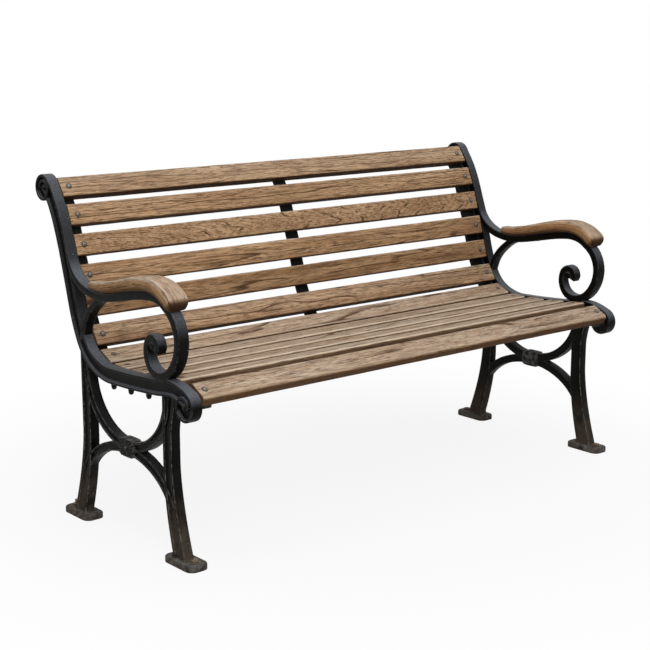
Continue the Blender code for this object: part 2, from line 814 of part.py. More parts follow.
def end_frames():
    """The two castings, one a mirror image of the other."""
    pieces = rail_pieces() + arm_pieces() + arc_pieces()
    pieces.append(leg("front_leg", FRONT_LEG_Y, -FRONT_LEG_FLARE))
    pieces.append(leg("rear_leg", REAR_LEG_Y, REAR_LEG_FLARE))
    pieces.append(foot("front_foot", -1))
    pieces.append(foot("rear_foot", 1))
    right = combine(pieces[0], pieces[1:], "UNION")
    right = combine(right, [drill("frame_holes", frame_holes())], "DIFFERENCE")
    right.name = "end_frame_right"
    return [mirrored(right, "end_frame_left"), right]


# Timber


def slat_outline(seat, nose):
    """Outline across a slat: square block with rounded edges, the front upper edge by nose."""
    y, z, lean = seat
    step = along(lean)
    side = sitter_side(step)
    half = SLAT_WIDTH / 2
    corners = (
        (-half, 0.0, 1.0, -1.0, SLAT_EDGE_ROUND),
        (half, 0.0, -1.0, -1.0, nose),
        (half, -SLAT_THICKNESS, -1.0, 1.0, SLAT_EDGE_ROUND),
        (-half, -SLAT_THICKNESS, 1.0, 1.0, SLAT_EDGE_ROUND),
    )
    outline = []
    for number, (across, depth, in_across, in_depth, radius) in enumerate(corners):
        for k in range(4):
            angle = math.radians(90.0 * number + 30.0 * k)
            a = across + in_across * radius - math.cos(angle) * radius
            b = depth + in_depth * radius + math.sin(angle) * radius
            outline.append(Vector((y, z)) + step * a + side * b)
    return outline


def slats():
    """Twelve slats with bolt holes at both ends and a blind screw hole behind the middle."""
    result = []
    for number, seat in enumerate(SEATS, 1):
        front = number == len(SEATS)
        kind = "back_slat" if number <= BACK_SLATS else "seat_slat"
        name = f"{kind}_{number:02d}"
        outline = slat_outline(seat, SEAT_NOSE_ROUND if front else SLAT_EDGE_ROUND)
        slat = plate(name, outline, -SLAT_END, SLAT_END)
        place, axis = slat_frame(seat)
        holes = []
        for x in (-BOLT_X, BOLT_X):
            entry = place + Vector((x, 0.0, 0.0))
            holes.append((entry, axis, BOLT_RADIUS + HOLE_CLEARANCE, SLAT_THICKNESS + THROUGH_ALLOWANCE))
        if number != BACK_SLATS:
            entry = place + Vector((STRAP_X, 0.0, 0.0)) - axis * SLAT_THICKNESS
            holes.append((entry, -axis, SCREW_RADIUS + HOLE_CLEARANCE, SCREW_BITE + HOLE_CLEARANCE))
        result.append(combine(slat, [drill(name + "_holes", holes)], "DIFFERENCE"))
    return result


def armrest_section(width, thickness):
    """Half-round upper side over a flat base, as (x, height) points."""
    half = [(0.40, 0.0), (0.485, 0.12), (0.5, 0.45), (0.475, 0.80), (0.39, 0.96), (0.15, 1.0)]
    right = [(x * width, h * thickness) for x, h in half]
    return right + [(-x, h) for x, h in reversed(right)]


def armrests():
    """Two armrests that follow the top of the arm bars."""
    path = arm_path()
    foremost = min(range(len(path)), key=lambda k: path[k].x)
    inside = [arm_station(ARMREST_REAR_Y)]
    for p, d in list(zip(path, directions(path)))[:foremost]:
        if ARMREST_FRONT_Y + ARMREST_STEP < p.x < ARMREST_REAR_Y - ARMREST_STEP:
            inside.append((p, sitter_side(d)))
    inside.append(arm_station(ARMREST_FRONT_Y))
    length = ARMREST_REAR_Y - ARMREST_FRONT_Y
    rings = []
    for number, (p, n) in enumerate(inside):
        share = min(1.0, max(0.0, (ARMREST_REAR_Y - p.x) / (0.65 * length)))
        smooth = share * share * (3.0 - 2.0 * share)
        width = ARMREST_REAR_WIDTH + (ARMREST_WIDTH - ARMREST_REAR_WIDTH) * smooth
        thickness = ARMREST_REAR_THICKNESS + (ARMREST_THICKNESS - ARMREST_REAR_THICKNESS) * min(1.0, 2.0 * share)
        base = p + n * (ARM_BAR_DEPTH / 2 + TOUCH_GAP)
        ring = [(RIM_X + x, base.x + n.x * h, base.y + n.y * h) for x, h in armrest_section(width, thickness)]
        rings.append(ring)
    rear_ring = [Vector(p) for p in rings[0]]
    front_ring = [Vector(p) for p in rings[-1]]
    rings.insert(0, eased(rear_ring, inside[0], -0.5, 0.8))
    rings.append(eased(front_ring, inside[-1], 0.6, 0.93))
    rings.append(eased(front_ring, inside[-1], 1.0, 0.66))
    right = loft("armrest_right", rings)
    holes = []
    for y in ARM_SCREW_PLACES:
        place, axis = arm_screw_place(y)
        entry = place + axis * (ARM_BAR_DEPTH / 2)
        holes.append((entry, -axis, SCREW_RADIUS + HOLE_CLEARANCE, SCREW_BITE + HOLE_CLEARANCE))
    combine(right, [drill("armrest_holes", holes)], "DIFFERENCE")
    return [mirrored(right, "armrest_left"), right]


def eased(ring, station, reach, share):
    """Ring beyond an end of an armrest, drawn in so that the end is rounded."""
    normal = station[1]
    step = Vector((0.0, -normal.y, normal.x)) * (reach * ARMREST_NOSE)
    middle = sum(ring, Vector()) / len(ring)
    return [tuple(middle + (p - middle) * share + step) for p in ring]


# Iron strap and fasteners


def strap():
    """Flat bar behind the slats with a hole for each screw."""
    outline = bearing_line(BEARING_DEPTH) + bearing_line(BEARING_DEPTH + STRAP_THICKNESS)[::-1]
    bar = plate("centre_strap", outline, STRAP_X - STRAP_WIDTH / 2, STRAP_X + STRAP_WIDTH / 2)
    holes = []
    for seat in strap_seats():
        place, axis = slat_frame(seat)
        entry = place + Vector((STRAP_X, 0.0, 0.0)) - axis * BEARING_DEPTH
        holes.append((entry, axis, SCREW_RADIUS + HOLE_CLEARANCE, STRAP_THICKNESS + THROUGH_ALLOWANCE))
    return combine(bar, [drill("strap_holes", holes)], "DIFFERENCE")


def strap_seats():
    """Slats that are screwed to the strap: all but the one at its bend."""
    return [seat for number, seat in enumerate(SEATS, 1) if number != BACK_SLATS]


def slat_bolt():
    """Round-headed bolt with its closed nut, head resting at z = 0 and shank down -Z."""
    nut_top = -BEARING_DEPTH - FLANGE_DEPTH - 2 * TOUCH_GAP
    nut_bottom = nut_top - NUT_HEIGHT
    end = nut_top - NUT_HEIGHT / 2
    head = BOLT_HEAD_HEIGHT
    profile = [
        (0.0, head),
        (BOLT_HEAD_RADIUS * 0.6, head * 0.75),
        (BOLT_HEAD_RADIUS, 0.0),
        (BOLT_RADIUS, 0.0),
        (BOLT_RADIUS, end),
        (0.0, end),
    ]
    return combine(turned("bolt", profile), [hex_prism("nut", NUT_RADIUS, nut_bottom, nut_top)], "UNION")


def slat_bolts():
    source = slat_bolt()
    result = []
    for side, x in (("left", -BOLT_X), ("right", BOLT_X)):
        for number, seat in enumerate(SEATS, 1):
            place, axis = slat_frame(seat)
            place = place + Vector((x, 0.0, 0.0)) + axis * TOUCH_GAP
            result.append(placed_copy(source, f"slat_bolt_{side}_{number:02d}", place, axis))
    bpy.data.objects.remove(source)
    return result


def wood_screw(name, length):
    """Round-headed screw, head resting at z = 0 and shank down -Z."""
    head = SCREW_HEAD_HEIGHT
    return turned(
        name,
        [
            (0.0, head),
            (SCREW_HEAD_RADIUS, head * 0.35),
            (SCREW_HEAD_RADIUS, 0.0),
            (SCREW_RADIUS, 0.0),
            (SCREW_RADIUS, SCREW_RADIUS - length),
            (0.0, -length),
        ],
    )


def strap_screws():
    source = wood_screw("strap_screw", STRAP_THICKNESS + SCREW_BITE)
    result = []
    for number, seat in enumerate(SEATS, 1):
        if seat not in strap_seats():
            continue
        place, axis = slat_frame(seat)
        depth = BEARING_DEPTH + STRAP_THICKNESS + TOUCH_GAP
        place = place + Vector((STRAP_X, 0.0, 0.0)) - axis * depth
        result.append(placed_copy(source, f"strap_screw_{number:02d}", place, -axis))
    bpy.data.objects.remove(source)
    return result


def armrest_screws():
    source = wood_screw("armrest_screw", ARM_BAR_DEPTH + SCREW_BITE)
    result = []
    for y, where in zip(ARM_SCREW_PLACES, ("rear", "front")):
        place, axis = arm_screw_place(y)
        place = place - axis * (ARM_BAR_DEPTH / 2 + TOUCH_GAP)
        for side, sign in (("left", -1.0), ("right", 1.0)):
            there = Vector((sign * place.x, place.y, place.z))
            result.append(placed_copy(source, f"armrest_screw_{side}_{where}", there, -axis))
    bpy.data.objects.remove(source)
    return result


def anchor_bolts():
    """Hexagon-headed bolts through the outer ends of the feet, cut off at the floor."""
    shank_end = TOUCH_GAP - FOOT_THICKNESS
    shank = turned(
        "anchor",
        [
            (0.0, ANCHOR_HEAD_HEIGHT / 2),
            (ANCHOR_RADIUS, ANCHOR_HEAD_HEIGHT / 2),
            (ANCHOR_RADIUS, shank_end),
            (0.0, shank_end),
        ],
    )
    source = combine(shank, [hex_prism("head", ANCHOR_HEAD_RADIUS, 0.0, ANCHOR_HEAD_HEIGHT)], "UNION")
    result = []
    for where, end in (("front", -1), ("rear", 1)):
        for side, sign in (("left", -1.0), ("right", 1.0)):
            place = anchor_place(end) + Vector((0.0, 0.0, TOUCH_GAP))
            place.x = place.x * sign
            result.append(placed_copy(source, f"anchor_bolt_{side}_{where}", place, Vector((0.0, 0.0, 1.0))))
    bpy.data.objects.remove(source)
    return result


# Bench


def smooth_round(objects):
    for obj in objects:
        for face in obj.data.polygons:
            face.use_smooth = True
        obj.data.set_sharp_from_angle(angle=math.radians(35.0))


def centre_depth(frame):
    """Move every piece so that the bench's depth is centred on Y = 0."""
    depths = [v.co.y for v in frame.data.vertices]
    middle = (min(depths) + max(depths)) / 2
    for obj in BENCH.objects:
        obj.location.y -= middle


def build():
    for obj in list(bpy.data.objects):
        bpy.data.objects.remove(obj)
    bpy.context.scene.collection.children.link(BENCH)
    bpy.context.scene.collection.children.link(CUTTERS)
    frames = end_frames()
    boards = slats()
    arms = armrests()
    bar = strap()
    bolts = slat_bolts()
    screws = strap_screws() + armrest_screws()
    anchors = anchor_bolts()
    cover(frames + [bar], painted_iron())
    cover(boards, weathered_timber())
    cover(arms, armrest_timber())
    cover(bolts + screws, zinc())
    cover(anchors, rusted_steel())
    smooth_round(frames + arms + bolts + screws)
    centre_depth(frames[0])


build()
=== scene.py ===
"""Looks of the park bench: cast iron end frames, weathered slats and armrests, strap and fasteners.

Metres, +Z up, the bench long in X with the sitter facing -Y. Profiles are (y, z) points in the upright
plane across the bench, y counted from the rear seat slat's face.
"""

import logging
import math
import random
from collections.abc import Callable, Iterator, Sequence
from contextlib import contextmanager
from dataclasses import dataclass, field
from enum import Enum

import bmesh
import bpy
from mathutils import Matrix, Vector


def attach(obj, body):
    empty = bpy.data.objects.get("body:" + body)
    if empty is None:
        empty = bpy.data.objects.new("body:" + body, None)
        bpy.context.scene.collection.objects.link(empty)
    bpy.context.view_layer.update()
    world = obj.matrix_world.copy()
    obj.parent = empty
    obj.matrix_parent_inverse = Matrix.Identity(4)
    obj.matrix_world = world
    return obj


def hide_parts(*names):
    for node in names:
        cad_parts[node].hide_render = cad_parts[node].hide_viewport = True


LOG = logging.getLogger("park_bench")
Point = tuple[float, float]
Colour = tuple[float, float, float]
Piece = bpy.types.Object
Socket = bpy.types.NodeSocket
Material = bpy.types.Material
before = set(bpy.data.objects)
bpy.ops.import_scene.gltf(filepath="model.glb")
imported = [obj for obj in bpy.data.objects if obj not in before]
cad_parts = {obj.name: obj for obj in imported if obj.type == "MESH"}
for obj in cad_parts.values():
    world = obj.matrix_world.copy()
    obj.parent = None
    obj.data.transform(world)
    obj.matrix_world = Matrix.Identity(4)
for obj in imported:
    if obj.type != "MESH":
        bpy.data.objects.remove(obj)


# Modelling by hand


def fresh() -> None:
    """Leave every object deselected, in object mode."""
    if bpy.context.object and bpy.context.object.mode != "OBJECT":
        bpy.ops.object.mode_set(mode="OBJECT")
    bpy.ops.object.select_all(action="DESELECT")


def choose(piece: Piece) -> None:
    """Make a piece the only selected and active one."""
    fresh()
    piece.select_set(True)
    bpy.context.view_layer.objects.active = piece


@contextmanager
def editing(piece: Piece, mode: str = "FACE") -> Iterator[None]:
    """Work on a piece in edit mode with nothing selected in it.

    Args:
        piece: The mesh object.
        mode: VERT, EDGE or FACE selection.
    """
    choose(piece)
    bpy.ops.object.mode_set(mode="EDIT")
    bpy.ops.mesh.select_mode(type=mode)
    bpy.ops.mesh.select_all(action="DESELECT")
    yield
    bpy.ops.object.mode_set(mode="OBJECT")


def pick(kind: str, test: Callable[..., bool]) -> int:
    """Select the elements of the edited mesh that pass a test, and no others.

    Args:
        kind: verts, edges or faces.
        test: Takes the element and says whether it is wanted.

    Returns:
        The number of selected elements.
    """
    bpy.ops.mesh.select_mode(type={"verts": "VERT", "edges": "EDGE", "faces": "FACE"}[kind])
    bpy.ops.mesh.select_all(action="DESELECT")
    mesh = bpy.context.edit_object.data
    bm = bmesh.from_edit_mesh(mesh)
    count = 0
    for element in getattr(bm, kind):
        if test(element):
            element.select_set(True)
            count += 1
    bm.select_flush_mode()
    bmesh.update_edit_mesh(mesh)
    return count


def middle(element: bmesh.types.BMEdge | bmesh.types.BMFace) -> Vector:
    """Mean place of an element's corners."""
    return sum((v.co for v in element.verts), Vector()) / len(element.verts)


def turn(angle: float, axis: str, centre: Sequence[float]) -> None:
    """Turn the selection about an axis through a centre, positive by the right hand."""
    bpy.ops.transform.rotate(value=-angle, orient_axis=axis, orient_type="GLOBAL", center_override=centre)


def tidy_mesh(piece: Piece, angle: float = 40.0) -> None:
    """Weld doubles, turn the faces outward and shade smooth below an angle in degrees."""
    with editing(piece):
        everything()
        bpy.ops.mesh.remove_doubles(threshold=0.00001)
        bpy.ops.mesh.normals_make_consistent(inside=False)
    bpy.ops.object.shade_smooth_by_angle(angle=math.radians(angle))


def everything() -> None:
    """Select the whole edited mesh."""
    bpy.ops.mesh.select_all(action="SELECT")


def extrude(step: Sequence[float]) -> None:
    """Extrude the selection by a step."""
    bpy.ops.mesh.extrude_region_move(TRANSFORM_OT_translate={"value": step})


def settle(piece: Piece) -> None:
    """Put a piece's place and turn into its mesh."""
    choose(piece)
    bpy.ops.object.transform_apply(location=True, rotation=True, scale=True)


def cylinder(
    name: str, sides: int, size: Point, place: Sequence[float], across: bool = False
) -> Piece:
    """Plain cylinder to start a piece from.

    Args:
        name: Name of the piece.
        sides: Spans round it.
        size: Radius and length.
        place: Its middle.
        across: Whether it lies along X and not upright.

    Returns:
        The new piece.
    """
    fresh()
    tilt = (0.0, math.pi / 2 if across else 0.0, 0.0)
    bpy.ops.mesh.primitive_cylinder_add(
        vertices=sides, radius=size[0], depth=size[1], location=place, rotation=tilt
    )
    piece = bpy.context.object
    piece.name = name
    settle(piece)
    return piece


def flat_ring(name: str, count: int) -> Piece:
    """Small filled ring whose points are then set to an outline."""
    fresh()
    bpy.ops.mesh.primitive_circle_add(vertices=count, radius=0.01, fill_type="NGON")
    piece = bpy.context.object
    piece.name = name
    return piece


def held(share: float) -> float:
    """Share held between 0 and 1."""
    return min(1.0, max(0.0, share))


def apply_modifiers(piece: Piece) -> None:
    """Apply every modifier of a piece in order."""
    choose(piece)
    for modifier in list(piece.modifiers):
        bpy.ops.object.modifier_apply(modifier=modifier.name)


def join(pieces: Sequence[Piece], name: str) -> Piece:
    """Join several meshes into the first.

    Args:
        pieces: The meshes.
        name: Name of the joined piece.

    Returns:
        The joined piece.
    """
    choose(pieces[0])
    for piece in pieces[1:]:
        piece.select_set(True)
    bpy.ops.object.join()
    pieces[0].name = name
    return pieces[0]


def copy_of(piece: Piece, name: str) -> Piece:
    """Copy of a piece with its own mesh."""
    twin = piece.copy()
    twin.data = piece.data.copy()
    twin.name = name
    bpy.context.scene.collection.objects.link(twin)
    return twin


def opposite(piece: Piece, name: str) -> Piece:
    """Mirror image of a piece on the other end of the bench."""
    twin = copy_of(piece, name)
    with editing(twin):
        everything()
        bpy.ops.transform.resize(value=(-1.0, 1.0, 1.0), center_override=(0.0, 0.0, 0.0))
        bpy.ops.mesh.flip_normals()
    return twin


def rounded(corners: Sequence[tuple[float, float, float]], steps: int = 3) -> list[Point]:
    """Closed outline with its corners rounded.

    Args:
        corners: (depth, width, radius) of each corner.
        steps: Spans round each corner.

    Returns:
        The outline's points.
    """
    outline: list[Point] = []
    count = len(corners)
    for k, (a, b, radius) in enumerate(corners):
        here = Vector((a, b))
        ends = []
        for other in (corners[k - 1], corners[(k + 1) % count]):
            way = Vector(other[:2]) - here
            ends.append(here + way.normalized() * min(radius, way.length * 0.45))
        for s in range(steps + 1):
            t = s / steps
            point = ends[0] * (1 - t) ** 2 + here * 2 * t * (1 - t) + ends[1] * t**2
            outline.append((point.x, point.y))
    return outline


def bar_outline(depth: float, width: float, radius: float, steps: int = 3) -> list[Point]:
    """Outline of a bar with rounded corners."""
    d = depth / 2
    w = width / 2
    return rounded([(-d, -w, radius), (d, -w, radius), (d, w, radius), (-d, w, radius)], steps)


def channel_outline(depth: float, width: float, web: float, edge: float, radius: float) -> list[Point]:
    """Outline of a bar with a hollow between two raised edges on its outer side."""
    d = depth / 2
    w = width / 2
    e = d - edge
    floor = w - (width - web) / 2
    corners = [
        (-d, -w, radius), (d, -w, radius), (d, w, radius), (e, w, radius),
        (e - 0.001, floor, radius), (0.001 - e, floor, radius), (-e, w, radius), (-d, w, radius),
    ]
    return rounded(corners, 3)


def side_of(way: Vector) -> Vector:
    """Unit step square to a way along a profile, towards the sitter on a path from back to front."""
    return Vector((way.y, -way.x))


def ways(path: Sequence[Vector]) -> list[Vector]:
    """Unit ways along a path at its points."""
    steps = [(b - a).normalized() for a, b in zip(path, path[1:])]
    inner = [(a + b).normalized() for a, b in zip(steps, steps[1:])]
    return [steps[0], *inner, steps[-1]]


def moved_aside(path: Sequence[Vector], distance: float) -> list[Vector]:
    """Path moved sideways, positive towards the sitter."""
    return [p + side_of(w) * distance for p, w in zip(path, ways(path))]


def flowing(path: Sequence[Vector], spans: int) -> list[Vector]:
    """Smooth curve through the points of a path, with several spans between each two."""
    points = [path[0] * 2 - path[1], *path, path[-1] * 2 - path[-2]]
    line = [path[0]]
    for a, b, c, d in zip(points, points[1:], points[2:], points[3:]):
        for k in range(1, spans + 1):
            t = k / spans
            square = (2 * a - 5 * b + 4 * c - d) * t**2
            cube = (3 * b - a - 3 * c + d) * t**3
            line.append(0.5 * (2 * b + (c - a) * t + square + cube))
    return line


def swept(
    name: str,
    outline: Sequence[Point],
    path: Sequence[Vector],
    x: float,
    sizes: Sequence[Point] | None = None,
) -> Piece:
    """Bar extruded along a profile path, its outline square to the path at every point.

    Args:
        name: Name of the piece.
        outline: (depth, width) points, depth towards the sitter and width along X.
        path: (y, z) points.
        x: Place of the outline's middle along X.
        sizes: Shares of the outline's depth and width at each point, where they change.

    Returns:
        The new piece.
    """
    piece = flat_ring(name, len(outline))
    sizes = sizes or [(1.0, 1.0)] * len(path)
    heading = ways(path)
    aside = side_of(heading[0])
    for vertex, (depth, width) in zip(piece.data.vertices, outline):
        place = path[0] + aside * depth * sizes[0][0]
        vertex.co = (x + width * sizes[0][1], place.x, place.y)
    with editing(piece):
        everything()
        for k in range(1, len(path)):
            step = path[k] - path[k - 1]
            extrude((0.0, step.x, step.y))
            centre = (x, path[k].x, path[k].y)
            bend = math.atan2(heading[k - 1].cross(heading[k]), heading[k - 1].dot(heading[k]))
            if abs(bend) > 1e-5:
                turn(bend, "X", centre)
            deeper = sizes[k][0] / sizes[k - 1][0]
            wider = sizes[k][1] / sizes[k - 1][1]
            if max(abs(deeper - 1.0), abs(wider - 1.0)) > 1e-4:
                bpy.ops.transform.resize(value=(wider, deeper, deeper), center_override=centre)
    tidy_mesh(piece)
    return piece


# Finishes


class Tree:
    """Node tree of one finish, written as short calls."""

    def __init__(self, name: str) -> None:
        """Start an empty material with its shader and output."""
        self.material = bpy.data.materials.new(name)
        self.material.use_nodes = True
        self.nodes = self.material.node_tree.nodes
        self.links = self.material.node_tree.links
        self.shader = self.nodes["Principled BSDF"]

    def add(self, kind: str, settings: dict | None = None, inputs: dict | None = None) -> bpy.types.Node:
        """Add a node.

        Args:
            kind: Node type without its ShaderNode prefix.
            settings: Properties of the node.
            inputs: Values or sockets for its inputs, by name or number.

        Returns:
            The node.
        """
        node = self.nodes.new("ShaderNode" + kind)
        for key, value in (settings or {}).items():
            setattr(node, key, value)
        for key, value in (inputs or {}).items():
            self.feed(node.inputs[key], value)
        return node

    def feed(self, socket: Socket, value: object) -> None:
        """Connect an input to another node's output, or set its constant."""
        if isinstance(value, Socket):
            self.links.new(value, socket)
        else:
            socket.default_value = value

    def place(self, scale: Sequence[float], shift: Sequence[float] = (0.0, 0.0, 0.0)) -> Socket:
        """Object coordinates stretched and shifted for one pattern."""
        coordinates = self.add("TexCoord").outputs["Object"]
        mapping = self.add("Mapping", {}, {"Vector": coordinates, "Scale": scale, "Location": shift})
        return mapping.outputs["Vector"]

    def noise(self, vector: Socket, detail: float = 3.0, roughness: float = 0.55) -> Socket:
        """Noise value on a vector that already carries its scale."""
        inputs = {"Vector": vector, "Scale": 1.0, "Detail": detail, "Roughness": roughness}
        return self.add("TexNoise", {}, inputs).outputs["Fac"]

    def span(self, value: Socket, low: float, high: float, start: float = 0.0, end: float = 1.0) -> Socket:
        """Value carried from one range to another and held at its ends."""
        inputs = {"Value": value, "From Min": low, "From Max": high, "To Min": start, "To Max": end}
        return self.add("MapRange", {"interpolation_type": "SMOOTHSTEP"}, inputs).outputs["Result"]

    def maths(self, operation: str, a: object, b: object = 0.0) -> Socket:
        """Two values combined."""
        return self.add("Math", {"operation": operation}, {0: a, 1: b}).outputs["Value"]

    def times(self, a: object, b: object) -> Socket:
        """Two values multiplied."""
        return self.maths("MULTIPLY", a, b)

    def plus(self, a: object, b: object) -> Socket:
        """Two values added."""
        return self.maths("ADD", a, b)

    def mix(self, share: object, a: object, b: object, blend: str = "MIX") -> Socket:
        """Two colours mixed by a share."""
        settings = {"data_type": "RGBA", "blend_type": blend, "clamp_factor": True}
        node = self.add("Mix", settings, {"Factor": share})
        for key, value in ((6, a), (7, b)):
            linked = isinstance(value, Socket)
            self.feed(node.inputs[key], value if linked else (*value, 1.0))
        return node.outputs[2]

    def facing(self) -> bpy.types.Node:
        """Parts of the surface's own direction, unbent by bump."""
        normal = self.add("NewGeometry").outputs["Normal"]
        return self.add("SeparateXYZ", {}, {0: normal})

    def coordinate(self, axis: str) -> Socket:
        """One object coordinate; Z is the height above the floor."""
        coordinates = self.add("TexCoord").outputs["Object"]
        return self.add("SeparateXYZ", {}, {0: coordinates}).outputs[axis]

    def surface(
        self, colour: Socket, roughness: object, bump: Socket, depth: float, metallic: object = 0.0
    ) -> Material:
        """Connect the shader.

        Args:
            colour: Base colour.
            roughness: Value or socket.
            bump: Height pattern.
            depth: Height of the pattern in metres.
            metallic: Value or socket.

        Returns:
            The finished material.
        """
        for name, value in (("Base Color", colour), ("Roughness", roughness), ("Metallic", metallic)):
            self.feed(self.shader.inputs[name], value)
        node = self.add("Bump", {}, {"Strength": 1.0, "Distance": depth, "Height": bump})
        self.feed(self.shader.inputs["Normal"], node.outputs["Normal"])
        return self.material


class Tone(Enum):
    """How far a slat has bleached, from below 0 for deep brown to 1 for grey."""

    DEEP = -0.2
    BROWN = 0.1
    MILD = 0.3
    WORN = 0.55
    PALE = 0.8


@dataclass(frozen=True)
class TimberFinish:
    """Weathered hardwood that carries its grain, counted from the log's heart, in the board itself."""

    name: str
    dark: Colour = (0.072, 0.034, 0.016)
    body: Colour = (0.328, 0.182, 0.088)
    light: Colour = (0.490, 0.306, 0.166)
    bleached: Colour = (0.478, 0.386, 0.296)
    # Pale colour of worn edges, used for painted highlights on timber and iron corners.
    rubbed_and_highlight: Colour = (0.620, 0.520, 0.405)
    # Dark colour of grime in the checks, also used for painted shade under the rests' noses and on the slats'
    # front edges.
    grime_and_shade: Colour = (0.026, 0.0125, 0.006)
    ring: float = 0.0110
    slope: float = 0.013
    figure: float = 1.0
    end_grain: float = 0.55
    exposed: Point = (0.25, 0.98)
    nose_shade: float = 0.0

    def material(self) -> Material:
        """Year rings, fibres, open pores and checks, bleached above, with painted shade on faces turned down
        and darker end grain.
        """
        tree = Tree(self.name)
        grain = tree.add("Attribute", {"attribute_name": "grain"}).outputs["Vector"]
        tone = tree.add("Attribute", {"attribute_name": "tone"}).outputs["Fac"]
        edge = tree.add("Attribute", {"attribute_name": "edge"}).outputs["Fac"]

        def noise(
            vector: Socket, scale: Sequence[float], detail: float = 3.0, roughness: float = 0.55
        ) -> Socket:
            """Noise with its spots per metre along, across and round the rings."""
            stretch = tree.add("Mapping", {}, {"Vector": vector, "Scale": scale})
            return tree.noise(stretch.outputs["Vector"], detail, roughness)

        part = tree.add("SeparateXYZ", {}, {0: grain}).outputs
        depth = tree.plus(part["Z"], tree.times(part["X"], self.slope))
        squares = tree.plus(tree.maths("POWER", part["Y"], 2.0), tree.maths("POWER", depth, 2.0))
        radius = tree.maths("SQRT", squares)
        broad = noise(grain, (1.5, 15.0, 15.0), 2.0)
        radius = tree.plus(radius, tree.times(broad, 0.040))
        radius = tree.plus(radius, tree.times(noise(grain, (8.0, 70.0, 70.0), 3.0), 0.0024))
        phase = tree.maths("FRACT", tree.maths("DIVIDE", radius, self.ring))
        line = tree.times(tree.span(phase, 0.84, 0.93), tree.span(phase, 1.0, 0.96))
        line = tree.times(line, tree.span(noise(grain, (4.0, 55.0, 55.0), 2.0), 0.36, 0.58, 0.08, 1.0))
        late = tree.span(tree.maths("FRACT", tree.maths("DIVIDE", radius, self.ring * 0.36)), 0.35, 0.95)
        flow = tree.plus(part["Y"], tree.times(broad, 0.040))
        drawn = tree.add("CombineXYZ", {}, {0: part["X"], 1: flow, 2: part["Z"]}).outputs[0]
        zones = noise(grain, (2.2, 42.0, 42.0), 3.0)
        fibre = noise(drawn, (16.0, 700.0, 620.0), 5.0, 0.7)
        streak = tree.span(noise(drawn, (12.0, 430.0, 390.0), 3.0, 0.6), 0.52, 0.68)
        dashes = tree.span(noise(drawn, (40.0, 820.0, 740.0), 2.0, 0.5), 0.54, 0.64)
        checks = tree.span(noise(drawn, (10.0, 560.0, 480.0), 2.0, 0.5), 0.62, 0.66)
        colour = tree.mix(tree.span(zones, 0.32, 0.66), self.body, self.light)
        colour = tree.mix(tree.times(late, 0.26 * self.figure), colour, self.dark)
        colour = tree.mix(tree.span(fibre, 0.52, 0.30, 0.0, 0.40), colour, self.light)
        facing = tree.facing()
        upward = tree.span(facing.outputs["Z"], *self.exposed)
        bleach = tree.times(upward, tree.span(zones, 0.2, 0.7, 0.42, 0.78))
        bleach = tree.plus(bleach, tree.times(tone, 0.22))
        colour = tree.mix(tree.span(tone, 0.0, Tone.DEEP.value, 0.0, 0.22), colour, self.dark)
        worn = tree.mix(tree.times(late, 0.30 * self.figure), self.bleached, self.body)
        colour = tree.mix(bleach, colour, worn)
        colour = tree.mix(tree.times(streak, 0.48), colour, self.dark)
        colour = tree.mix(tree.times(dashes, 0.68), colour, self.dark)
        colour = tree.mix(tree.times(line, 0.88 * self.figure), colour, self.dark)
        colour = tree.mix(tree.times(checks, 0.80), colour, self.grime_and_shade)
        # Painted shade: faces turned down, such as the slats' lower edges, are darkened as if in shade; end
        # grain is darker in its own right.
        under = tree.span(facing.outputs["Z"], 0.16, -0.34, 0.0, 0.86)
        under = tree.times(under, tree.span(facing.outputs["Y"], 0.62, 0.30, 0.35, 1.0))
        ends = tree.span(tree.maths("ABSOLUTE", facing.outputs["X"]), 0.80, 0.97, 0.0, self.end_grain)
        # Painted shade: the lower, forward-facing part of a rest's nose is darkened to the grime colour.
        nose = tree.span(facing.outputs["Z"], 0.62, 0.05, 0.0, self.nose_shade)
        nose = tree.times(tree.span(facing.outputs["Y"], -0.30, -0.80), nose)
        colour = tree.mix(tree.maths("MAXIMUM", under, ends), colour, self.dark)
        colour = tree.mix(nose, colour, self.grime_and_shade)
        # Painted highlight on the seat slats' rounded front top edges, partly wear; painted shade on their
        # front faces in the gaps and on the back slats' lower front edges.
        colour = tree.mix(tree.span(edge, -0.10, -1.0, 0.0, 0.80), colour, self.rubbed_and_highlight)
        colour = tree.mix(tree.span(edge, 0.10, 1.0, 0.0, 0.93), colour, self.grime_and_shade)
        relief = tree.maths("SUBTRACT", tree.times(fibre, 0.7), tree.times(tree.plus(late, line), 0.2))
        relief = tree.maths("SUBTRACT", relief, tree.plus(dashes, tree.plus(checks, tree.times(streak, 0.4))))
        tree.shader.inputs["Specular IOR Level"].default_value = 0.05
        return tree.surface(colour, tree.span(fibre, 0.2, 0.8, 0.58, 0.80), relief, 0.00045)


